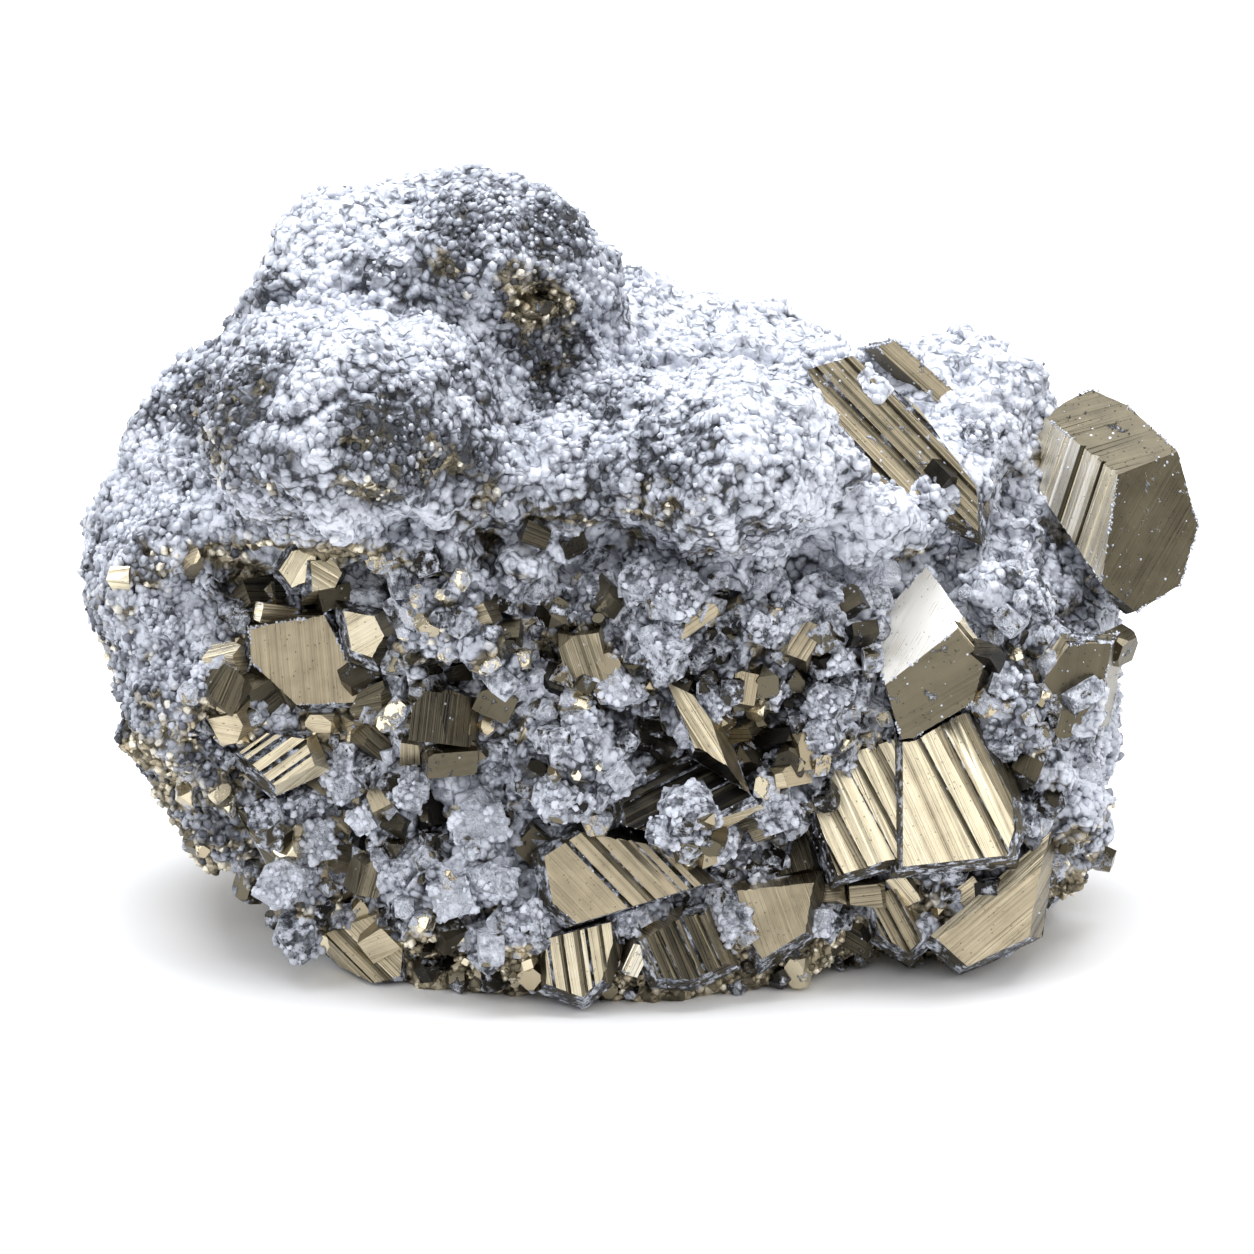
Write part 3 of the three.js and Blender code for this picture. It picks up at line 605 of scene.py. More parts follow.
# The margin round a chip's grid of faces, and where the two triangles of a square lie in it
CHIP_MARGIN = 0.08
TRIANGLE_CORNERS = (
    ((0.06, 0.06), (0.86, 0.06), (0.06, 0.86)),
    ((0.94, 0.94), (0.14, 0.94), (0.94, 0.14)),
)


def unwrap_chip(shape):
    """Lays the faces out in a small grid inside one cell, with a margin."""
    bmesh.ops.triangulate(shape, faces=shape.faces)
    layer = shape.loops.layers.uv.new(UNWRAPPED)
    count = len(shape.faces)
    columns = math.ceil(math.sqrt(count / 2))
    rows = math.ceil(count / 2 / columns)
    for number, face in enumerate(shape.faces):
        square, half = divmod(number, 2)
        left, low = square % columns, square // columns
        for loop, (across, along) in zip(face.loops, TRIANGLE_CORNERS[half]):
            spot = Vector(((left + across) / columns, (low + along) / rows))
            loop[layer].uv = spot * (1 - 2 * CHIP_MARGIN) + Vector((CHIP_MARGIN, CHIP_MARGIN))


# The crust

class CrustSettings(bpy.types.PropertyGroup):
    """The grey mass's skin."""

    voxel: length("Mesh step", "Side of the skin's squares", 0.36)
    lump_size: length("Lump size", "Width of the soft lumps", 7)
    lump_height: length("Lump height", "Height of the soft lumps", 1.3)
    knob_size: length("Knob size", "Width of the round knobs", 3.0)
    knob_height: length("Knob height", "Height of the round knobs", 0.7)
    pebble_size: length("Pebble size", "Width of the small pebbles on the knobs", 1.4)
    pebble_height: length("Pebble height", "Height of the small pebbles", 0.4)
    ridge_size: length("Ridge size", "Distance over which the fine ridges wander", 1.5)
    ridge_height: length("Ridge height", "Height of the fine ridges", 0.28)
    clearance: length("Clearance", "How far from a crystal the skin is left plain", 1.0)
    creep: length("Creep", "How far the crust climbs beside a crystal", 0.8)
    block_spacing: length("Block spacing", "Least distance between the blocks under the crust", 3.2)
    smallest_block: length("Smallest block", "Width of the smallest block under the crust", 2.4)
    largest_block: length("Largest block", "Width of the largest block under the crust", 5.5)
    seed: bpy.props.IntProperty(name="Seed", description="Another number gives other blocks", default=5)


# Patches of the front: right, up, half width, half height in millimetres, and how much is added there
DUST_PATCHES = (
    (-31, 66, 7, 7, 0.3), (-10, 66, 8, 8, -0.45), (-22, 72, 7, 3, 0.2), (-16, 68.5, 2.5, 3, -0.5),
    (-38.5, 51, 6.5, 5.5, -0.75), (-23, 46, 7.5, 6, -0.65), (-31.5, 47, 1.5, 9, 0.35),
    (-28, 57, 10, 2.5, 0.45), (-28, 38, 11, 3, 0.35), (-22, 39, 10, 5, 0.2), (8, 58, 14, 7, 0.45),
    (33, 52, 11, 8, 0.65), (6, 47, 6, 4, -0.35), (18, 42, 7, 6, 0.35), (14, 51, 6, 5, 0.4),
    (26, 34, 9, 9, 0.45), (24, 56, 8, 5, 0.4), (-48, 40, 9, 12, 0.3), (-46, 16, 10, 14, -0.3),
    (-8, 54, 5, 5, -0.5), (6, 30, 9, 8, 0.0), (49, 12, 7, 14, 0.35), (-14, 2, 10, 7, 0.35),
    (-30, 5, 9, 8, 0.25), (-12, 17, 9, 8, 0.15),
)
BRASS_PATCHES = (
    (-50, 36, 11, 12, 0.15), (-44, 12, 14, 14, 0.25), (-31, 35, 10, 2.5, 0.5), (-8, 31, 8, 6, 0.2),
    (49, 18, 8, 16, 0.25), (-9.5, 60.5, 3, 1.6, 0.6), (0, -8, 60, 4, 0.6), (-8, 38, 9, 3, 0.25),
    (-24, 17, 9, 6, 0.3), (42, 44, 5, 5, 0.3),
)
# Places of the front where the skin is sunk, and how far in millimetres
FORM_PATCHES = (
    (-27, 33.5, 13, 2.5, -2.0), (-44, 46, 3, 8, -1.4), (-9, 46, 3.5, 9, -2.2), (-6, 56, 6, 3, -1.6),
    (-31, 59.5, 11, 1.6, -1.6), (-22, 66, 2, 7, -1.0), (1, 36, 8, 2.5, -1.8), (-2, 52, 3, 6, -1.2),
    (12, 54, 12, 2, -1.4), (18, 43, 2, 7, -1.2), (-9.5, 60.5, 3, 1.8, -3.4), (20, 33, 3, 5, -1.0),
    (-18, 42, 2, 2, -1.2), (6, 48, 2, 2, -1.0), (-24, 50, 1.5, 5, -0.8), (-15.5, 68.5, 2, 2, -1.2),
)
# The rounded lumps of the front, and how far they stand out in millimetres
DOMES = (
    (-27.5, 48.5, 15.5, 11.5, 3.6), (-33, 66.5, 9, 7.5, 2.2), (-12.5, 67, 9.5, 8.5, 2.4),
    (7, 45, 10.5, 8.5, 3.0), (24, 41, 7, 8, 1.8), (36, 52, 6, 5.5, 1.4), (-19.4, 33, 5, 4.6, 2.0),
    (-10.5, 33.5, 5, 4.5, 1.8), (-14, 25.2, 6, 4, 1.6), (33, 32, 8, 6, 1.4), (8, 57, 9, 4, 1.2),
    (-48, 40, 6, 8, 1.4), (20, 52, 6, 4, 1.0), (-46, 22, 7, 8, 1.4), (-40, 6, 5, 7, 1.2),
    (-50, 30, 4, 5, 1.2), (46, 10, 5, 8, 1.2),
)
# Patches where grains sit closer
GRAINY_PATCHES = (
    (-10, 66, 10, 9, 0.6), (-52, 38, 10, 16, 0.7), (-46, 16, 12, 14, 0.5), (0, -9, 60, 6, 0.5),
    (50, 14, 7, 16, 0.5), (-8, 55, 6, 6, 0.4), (-24, 46, 8, 6, 0.3), (-38, 50, 4, 4, 0.3),
    (9, 46, 6, 6, 0.2),
)


def front_place(spot):
    """Millimetres to the right, up and nearer, of a point as the front view shows it."""
    away = (spot - FRONT_VIEW_MIDDLE) / MM
    return away.dot(RIGHT), away.dot(UP), away.dot(NEAR)


def patch_reach(patch, right, up):
    """The square of how far a place is from a patch's middle, with 1 on the patch's rim."""
    middle_right, middle_up, half_width, half_height, _ = patch
    return ((right - middle_right) / half_width) ** 2 + ((up - middle_up) / half_height) ** 2


def patch_sum(patches, right, up):
    """What soft-edged patches add at this place."""
    return sum(patch[-1] * math.exp(-patch_reach(patch, right, up)) for patch in patches)


def dome_height(right, up):
    """How far the highest dome stands out at this place."""
    return max(patch[-1] * math.sqrt(max(1 - patch_reach(patch, right, up), 0.0)) for patch in DOMES)


def clamp(value):
    return min(max(value, 0.0), 1.0)


def smooth_step(low, high, value):
    share = clamp((value - low) / (high - low))
    return share * share * (3 - 2 * share)


def front_share(normal):
    """1 where the skin looks at the viewer of the front, and 0 where it looks away."""
    return smooth_step(-0.3, 0.4, normal.dot(NEAR))


def low_share(spot):
    """1 near the floor and 0 above 14 mm."""
    return 1 - smooth_step(2 * MM, 14 * MM, spot.z)


def crowding(spot, normal):
    """How thickly small crystals crowd here: most in the lower half of the front."""
    right, up, _ = front_place(spot)
    inside = smooth_step(-46, -38, right) * (1 - smooth_step(40, 47, right)) * smooth_step(-10, -5, up)
    pockets = smooth_step(0.3, 0.55, noise.noise(spot / (11 * MM)))
    pockets *= smooth_step(0.2, -0.2, normal.dot(NEAR))
    pockets *= 1 - smooth_step(48 * MM, 56 * MM, spot.z)
    lower_front = front_share(normal) * inside * (1 - smooth_step(28, 38, up))
    return max(lower_front, 0.2 * low_share(spot), 0.45 * pockets)


def crust_form(spot, normal):
    """How far the skin's main lumps and hollows push this point, in metres towards the front view."""
    right, up, _ = front_place(spot)
    right += 2.0 * noise.noise(spot / (6 * MM))
    up += 2.0 * noise.noise(spot / (5 * MM) + RIGHT * 9)
    push = patch_sum(FORM_PATCHES, right, up) + dome_height(right, up)
    return smooth_step(-0.2, 0.5, normal.dot(NEAR)) * push * MM


def crust_relief(spot, crowd, sizes):
    """How far the skin stands out here, and how high its fine knobs and ridges are, about 0 to 1."""
    lumps = noise.noise(spot / sizes.lump_size) * sizes.lump_height * (1 + 0.4 * crowd)
    distance = noise.voronoi(spot / sizes.knob_size)[0][0]
    knob = 0.6 - distance * distance * 1.8
    wander = abs(noise.noise(spot / sizes.ridge_size) + 0.5 * noise.noise(spot / (0.45 * sizes.ridge_size)))
    ridge = 0.5 - 2.2 * min(wander, 0.5)
    gap = noise.voronoi(spot / sizes.pebble_size)[0][0]
    pebble = 0.5 - gap * gap * 2.2
    height = lumps + knob * sizes.knob_height + ridge * sizes.ridge_height + pebble * sizes.pebble_height
    return height, 0.35 + 0.3 * knob + 0.5 * pebble + 0.3 * ridge


def buried(spot, normal, crystals):
    """Whether this place is too near the floor or a large crystal to carry grains."""
    reach = crystals.find_nearest(spot)[3]
    roofed = crystals.ray_cast(spot + normal * 0.02 * MM, normal, 1.6 * MM)[0] is not None
    return spot.z < 0.9 * MM or roofed or reach < 0.2 * MM


def crust_masks(spot, normal, relief, crystals):
    """Where grains may sit, how pale the crust is (its dust and a painted highlight on what faces up),
    where it is brassy, and where small crystals crowd.
    """
    right, up, _ = front_place(spot)
    front = front_share(normal)
    low = low_share(spot)
    bare = buried(spot, normal, crystals)
    clouds = noise.fractal(spot / (6 * MM), 0.7, 2.1, 4)
    crowd = crowding(spot, normal)
    # Painted highlight: paler where the skin faces up, as if lit from above. Lower within 14 mm of the
    # floor and where small crystals crowd.
    dust = 0.5 + 0.25 * normal.z + 0.6 * clouds + front * patch_sum(DUST_PATCHES, right, up) - 0.2 * low
    dust -= 0.2 * crowd
    brass = 0.1 + 0.35 * low - 0.2 * normal.z + 0.35 * noise.noise(spot / (5 * MM))
    brass += front * patch_sum(BRASS_PATCHES, right, up)
    grainy = 0.3 + 0.3 * low + 0.5 * noise.noise(spot / (9 * MM))
    grainy += front * patch_sum(GRAINY_PATCHES, right, up)
    grainy = smooth_step(0.15, 0.7, grainy)
    return {
        "dust": clamp(dust),
        "brass": clamp(brass),
        "relief": clamp(relief),
        "grainy": 0.0 if bare else 0.06 + 0.94 * grainy,
        "blocks": 0.0 if bare else crowd,
    }


def store(mesh, name, values):
    layer = mesh.attributes.new(name, "FLOAT", "POINT")
    layer.data.foreach_set("value", values)


def crystal_blocks():
    """The shapes of the smaller crystals: cubes with more or less of their corners cut off."""
    forms = ((0.12, (1, 0.9, 0.8)), (0.25, (0.9, 0.9, 0.9)), (0.18, (1.2, 0.8, 0.7)), (0.3, (1, 0.8, 0.7)))
    return [crystal_shape(f"block_{number}", cut, stretch) for number, (cut, stretch) in enumerate(forms)]


# Lumps of crust that lie over the edges of crystals: right, up, width and height in millimetres
LAPPING_LUMPS = (
    (5.5, 9.3, 6, 7.5), (14, 11, 5.5, 4.5), (18, 16.5, 6.5, 6), (11.5, 13, 3, 3), (16, 27, 7, 6),
    (19.5, 21.5, 5, 6), (10.5, 27.5, 5, 5), (5, 31, 4.5, 5), (0, 32, 4.5, 4), (2, 26.5, 5, 4),
    (6, 25, 4, 4.5), (-0.2, 21.3, 4.6, 3.4), (-3, 17, 6, 6), (-8, 14, 6, 7), (-11, 19.5, 6, 4.5),
    (-1, 13, 5, 5), (-17, 35, 9, 6), (-24, 36.5, 6, 4), (-10, 35, 7, 6), (-20, 28, 7, 6),
    (-12.5, 26.5, 6, 4), (-24.5, 23, 5, 4), (-28, 16, 5.5, 3.5), (-38, 20, 4, 5), (-19, 8, 7, 7),
    (-15, 3, 8, 7), (-9.5, 2, 6, 7), (-23, 4, 6, 8), (-12.5, -3, 6, 6), (-20, -3, 5, 5), (35.5, 31, 9, 9),
    (37, 21, 5, 6), (39.5, 17, 5, 4), (39.5, 9.5, 3.6, 7), (27, 33.5, 7, 5), (22.5, 30, 5, 6),
    (30, 3, 4, 4), (19.5, -1.5, 3.5, 5), (10.7, -1, 4, 6), (9.5, 5.5, 4, 4), (38, 36, 4, 6),
    (40, 29, 4, 6), (21, 44, 5, 4), (30, 41, 5, 4), (24, 52, 4, 3), (34, 50, 6, 5), (-34, 8, 5, 5),
    (-31, 1, 5, 4), (-33, -2, 4, 4), (44, 28, 5, 3), (46, 20, 4, 6), (42, 14, 5, 5),
)


# How many steps a look may move towards the middle of the view, and their share of the way there
SEEK_STEPS = 12
SEEK_STEP = 0.02


def seen_spot(trees, right, up):
    """The nearest point that the front view shows at this place, or a little nearer the view's middle."""
    for number in range(SEEK_STEPS):
        share = 1 - SEEK_STEP * number
        start = from_front(right * share, VIEW_HEIGHT + (up - VIEW_HEIGHT) * share, LOOK_START)
        hits = [tree.ray_cast(start, -NEAR)[0] for tree in trees]
        hits = [hit for hit in hits if hit is not None]
        if hits:
            return max(hits, key=lambda hit: hit.dot(NEAR))
    raise RuntimeError(f"nothing is seen near {right}, {up}")


# A lapping lump before it is sized: its radius, its depth and sink beside its smaller side, its tilt
LUMP_RADIUS = 0.53
LUMP_DEPTH = 0.75
LUMP_SINK = 0.12
LUMP_TILT = 0.5


def lapping_lumps(sizes, crystals):
    """The lumps that lap over the crystals, each on what the front view shows at its place."""
    rng = random.Random(sizes.seed)
    ground = merged_copy("matrix")
    mass = BVHTree.FromBMesh(ground)
    ground.free()
    lumps = bmesh.new()
    for right, up, width, height in LAPPING_LUMPS:
        nearest = seen_spot((mass, crystals), right, up)
        turn = Euler([rng.uniform(-LUMP_TILT, LUMP_TILT) for _ in range(3)]).to_matrix().to_4x4()
        scale = Matrix.Diagonal((width * MM, height * MM, LUMP_DEPTH * min(width, height) * MM, 1))
        place = Matrix.Translation(nearest - NEAR * LUMP_SINK * min(width, height) * MM)
        matrix = place @ FRONT_VIEW.to_4x4() @ turn @ scale
        bmesh.ops.create_icosphere(lumps, subdivisions=1, radius=LUMP_RADIUS, matrix=matrix)
    return lumps


# The squares of the ground that blocks stand on, and how many blocks a square metre tries to hold
BLOCK_GROUND = 1.2 * MM
BLOCK_DENSITY = 4.0e5


def crust_blocks(sizes, crystals):
    """Blocks on the mass that the crust grows over, away from the large crystals."""
    ground = to_piece("crust_blocks", merged_copy("matrix"), None)
    remesh(ground, BLOCK_GROUND)
    values = []
    for vertex in ground.data.vertices:
        reach = crystals.find_nearest(vertex.co)[3]
        clear = smooth_step(1.2 * MM, 2.4 * MM, reach) * smooth_step(2 * MM, 4 * MM, vertex.co.z)
        values.append(clear * crowding(vertex.co, vertex.normal))
    store(ground.data, "blocks", values)
    forms = crystal_blocks()
    tree = scatter_tree("scatter_crust_blocks", forms, bpy.data.materials["crust_ground"])
    tree.put_on(ground, Spacing=sizes.block_spacing, Density=BLOCK_DENSITY, Smallest=sizes.smallest_block,
                Largest=sizes.largest_block, Seed=sizes.seed, Mask="blocks")
    for form in forms:
        drop_object(form)
    return ground


# The skin's four pieces, each on its side of the middle and of the split between front and back
SKIN_SPLIT = -6 * MM
QUARTERS = {"front_left": (-1, -1), "front_right": (1, -1), "back_left": (-1, 1), "back_right": (1, 1)}
# What counts as lying on the floor, and as flat
ON_FLOOR = 0.002 * MM
FLAT_ANGLE = math.radians(0.5)
# The mesh that keeps the whole skin's shape and masks for the steps that scatter things on it
SKIN_PATTERN = "skin_pattern"


def quarter(mesh, side, depth_side):
    """The part of the skin in one quarter, closed where it is cut, with few faces on the floor."""
    shape = bmesh.new()
    shape.from_mesh(mesh)
    away = []
    for face in shape.faces:
        middle = face.calc_center_median()
        if middle.x * side <= 0 or (middle.y - SKIN_SPLIT) * depth_side <= 0:
            away.append(face)
    bmesh.ops.delete(shape, geom=away, context="FACES")
    rims = [edge for edge in shape.edges if edge.is_boundary]
    for face in bmesh.ops.holes_fill(shape, edges=rims)["faces"]:
        face.smooth = False
    floor = [vert for vert in shape.verts if vert.co.z < ON_FLOOR]
    flat = [edge for edge in shape.edges if max(vert.co.z for vert in edge.verts) < ON_FLOOR]
    bmesh.ops.dissolve_limit(shape, angle_limit=FLAT_ANGLE, verts=floor, edges=flat)
    bmesh.ops.triangulate(shape, faces=shape.faces)
    return shape


# Distances from a large crystal: where the skin stays plain, where it closes on the crystal, and where
# its lumps and hollows begin, with how far past the crystal's side the closing pulls it
CRYSTAL_MARGIN = 0.3 * MM
CLOSING_REACH = (0.5 * MM, 0.9 * MM)
FORM_REACH = (0.5 * MM, 4 * MM)
CLOSING_PULL = 1.2


def grow_crust(mesh, sizes, crystals):
    """Pushes the skin into its lumps, knobs and ridges, and closes it round the large crystals."""
    normals = [vertex.normal.copy() for vertex in mesh.vertices]
    reliefs = []
    for vertex, normal in zip(mesh.vertices, normals):
        edge, _, _, reach = crystals.find_nearest(vertex.co)
        room = smooth_step(0, sizes.clearance, reach - CRYSTAL_MARGIN)
        closing = 1 - smooth_step(*CLOSING_REACH, reach)
        height, relief = crust_relief(vertex.co, crowding(vertex.co, normal), sizes)
        creep = closing * sizes.creep * (0.4 + noise.noise(vertex.co / (1.1 * MM)))
        form = crust_form(vertex.co, normal) * smooth_step(*FORM_REACH, reach)
        pull = (edge - vertex.co) * closing * CLOSING_PULL
        vertex.co += normal * (height * room + creep) + pull + NEAR * form
        vertex.co.z = max(vertex.co.z, 0.0)
        reliefs.append(relief)
    mesh.update()
    masks = [
        crust_masks(vertex.co, vertex.normal, relief, crystals)
        for vertex, relief in zip(mesh.vertices, reliefs)
    ]
    for name in masks[0]:
        store(mesh, name, [values[name] for values in masks])


class PYRITE_OT_crust(bpy.types.Operator):
    """Build the skin of the grey mass, with its blocks, knobs and ridges, in four pieces"""

    bl_idname = "pyrite.crust"
    bl_label = "Crust"

    def execute(self, context):
        sizes = context.scene.pyrite_crust
        material = crust_material()
        crystals = crystals_tree()
        blocks = crust_blocks(sizes, crystals)
        shape = lapping_lumps(sizes, crystals)
        shape.from_mesh(blocks.data)
        drop_object(blocks)
        shape.from_mesh(frame["nodes"]["matrix"].data)
        bmesh.ops.remove_doubles(shape, verts=shape.verts, dist=MERGE_DISTANCE)
        skin = to_piece("skin", shape, material)
        remesh(skin, sizes.voxel)
        mesh = skin.data
        grow_crust(mesh, sizes, crystals)
        mesh.shade_smooth()
        mesh.name = SKIN_PATTERN
        mesh.use_fake_user = True
        bpy.data.objects.remove(skin)
        for name, (side, depth_side) in QUARTERS.items():
            piece = to_piece(f"crust_{name}", quarter(mesh, side, depth_side), material)
            piece.data.validate()
            give(piece, "grey_crust", "matrix")
        return {"FINISHED"}


# The grains on the crust

class GrainSettings(bpy.types.PropertyGroup):
    """The tiny crystals all over the crust."""

    spacing: length("Spacing", "Least distance between grains", 0.78)
    smallest: length("Smallest", "Width of the smallest grain", 0.4)
    largest: length("Largest", "Width of the largest grain", 1.35)
    cells: bpy.props.IntProperty(
        name="Cells", description="Grains along one side of the unwrapping", default=140)
    seed: bpy.props.IntProperty(name="Seed", description="Another number gives other grains", default=7)


def grain_chips():
    """The grain shapes that are scattered, each with 14 to 18 faces."""
    stretches = ((1, 1, 1), (1.2, 0.9, 0.9), (1, 1, 0.8), (1, 1, 1), (1.3, 0.9, 0.7), (1.1, 1, 0.9))
    return [
        grain_shape(f"chip_{number}", number + 3, 9 + number % 3, stretch)
        for number, stretch in enumerate(stretches)
    ]


# How high the lowest corners of grains are
FLOOR_CLEARANCE = 0.01 * MM


def clear_of_floor(piece):
    """Lifts every corner that is under the floor."""
    places = np.empty(len(piece.data.vertices) * 3, dtype=np.float32)
    piece.data.vertices.foreach_get("co", places)
    places[2::3] = np.maximum(places[2::3], FLOOR_CLEARANCE)
    piece.data.vertices.foreach_set("co", places)
    piece.data.update()


def half_of_skin(name, side):
    """A copy of the skin on which grains may sit only on one side, left or right."""
    piece = new_object(name, bpy.data.meshes[SKIN_PATTERN].copy())
    layer = piece.data.attributes["grainy"]
    for vertex, value in zip(piece.data.vertices, layer.data):
        if vertex.co.x * side < 0:
            value.value = 0.0
    return piece


class PYRITE_OT_grains(bpy.types.Operator):
    """Scatter tiny crystals over the crust, in two pieces"""

    bl_idname = "pyrite.grains"
    bl_label = "Grains"

    def execute(self, context):
        sizes = context.scene.pyrite_grains
        chips = grain_chips()
        tree = scatter_tree("scatter_grains", chips, grain_material())
        for name, side in (("grains_left", -1), ("grains_right", 1)):
            piece = half_of_skin(name, side)
            tree.put_on(piece, Spacing=sizes.spacing, Smallest=sizes.smallest, Largest=sizes.largest,
                        Seed=sizes.seed, Cells=float(sizes.cells), Mask="grainy")
            clear_of_floor(piece)
            give(piece, "grey_crust")
        for chip in chips:
            drop_object(chip)
        return {"FINISHED"}


# The small crystals among the large ones

class BlockSettings(bpy.types.PropertyGroup):
    """The small pyrite crystals that crowd between the large ones."""

    spacing: length("Spacing", "Least distance between crystals", 1.9)
    smallest: length("Smallest", "Width of the smallest crystal", 0.9)
    largest: length("Largest", "Width of the largest crystal", 3.2)
    cells: bpy.props.IntProperty(
        name="Cells", description="Crystals along one side of the unwrapping", default=60)
    seed: bpy.props.IntProperty(name="Seed", description="Another number gives other crystals", default=4)


class PYRITE_OT_small_crystals(bpy.types.Operator):
    """Scatter small blocky crystals, mostly at the front"""

    bl_idname = "pyrite.small_crystals"
    bl_label = "Small crystals"

    def execute(self, context):
        sizes = context.scene.pyrite_blocks
        blocks = crystal_blocks()
        tree = scatter_tree("scatter_blocks", blocks, block_material())
        piece = new_object("small_crystals", bpy.data.meshes[SKIN_PATTERN].copy())
        tree.put_on(piece, Spacing=sizes.spacing, Density=BLOCK_DENSITY, Smallest=sizes.smallest,
                    Largest=sizes.largest, Seed=sizes.seed, Cells=float(sizes.cells), Mask="blocks")
        clear_of_floor(piece)
        give(piece, "bright_pyrite")
        for block in blocks:
            drop_object(block)
        return {"FINISHED"}


# How the faces of crystals look

# How a face looks: its brightness from 0 to 1 (partly the pyrite's own tone, partly painted reflection),
# how much that varies from rib to rib, how deep its ribs are beside the usual depth, how strong its fine
# lines are, and its frost
FINISHES_AND_PAINTED_LIGHT = {
    # Painted reflection: "white" faces stand for the glare of a reflected light, "shaded" and "brown" ones
    # for faces that mirror dark surroundings
    "white": (1.03, 0.02, 0.1, 0.1, 0.0),
    "gold": (0.8, 0.06, 0.4, 0.25, 0.0),
    "cream ribs": (0.78, 0.08, 0.6, 0.45, 0.0),
    "tan": (0.59, 0.03, 0.15, 0.2, 0.0),
    "tan ribs": (0.62, 0.1, 0.8, 0.5, 0.05),
    "olive ribs": (0.46, 0.08, 0.8, 0.5, 0.05),
    "silver ribs": (0.74, 0.14, 1.0, 0.6, 0.25),
    "blade": (0.46, 0.05, 0.5, 0.5, 0.3),
    "brown": (0.27, 0.02, 0.08, 0.08, 0.25),
    "shaded": (0.15, 0.02, 0.1, 0.06, 0.25),
    "dark ribs": (0.28, 0.12, 1.0, 0.5, 0.1),
    "black ribs": (0.04, 0.1, 1.4, 0.15, 0.12),
    "frosted": (0.5, 0.1, 0.6, 0.2, 0.6),
    "crusted": (0.2, 0.08, 0.6, 0.3, 0.62),
    "groove": (0.42, 0.08, 0.0, 0.4, 0.0),
    "pale ribs": (0.92, 0.06, 0.5, 0.35, 0.05),
    "slate": (0.42, 0.14, 0.4, 0.2, 0.9),
    "snow": (0.72, 0.22, 0.4, 0.2, 0.9),
}
FACE_NUMBERS = ("bright", "lines", "frost")


def look_layers(shape):
    """New layers for each face's brightness, lines and frost, and for the way across its lines."""
    layers = {name: shape.faces.layers.float.new(name) for name in FACE_NUMBERS}
    layers["across"] = shape.faces.layers.float_vector.new("across")
    return layers


def seen_direction(normal, angle):
    """The direction in a face that the front view shows at this angle."""
    seen = RIGHT * math.cos(math.radians(angle)) + UP * math.sin(math.radians(angle))
    return (seen - NEAR * (seen.dot(normal) / NEAR.dot(normal))).normalized()


# The middle crystals

class MiddleSettings(bpy.types.PropertyGroup):
    """The crystals of middling size that stand between the large ones."""

    tilt: bpy.props.FloatProperty(
        name="Tilt", description="Greatest turn away from the front view",
        default=math.radians(36), subtype="ANGLE", unit="ROTATION")
    sink: bpy.props.FloatProperty(
        name="Sink", description="How deep a crystal is sunk, beside its depth", default=0.12)
    seed: bpy.props.IntProperty(name="Seed", description="Another number gives other corners", default=21)


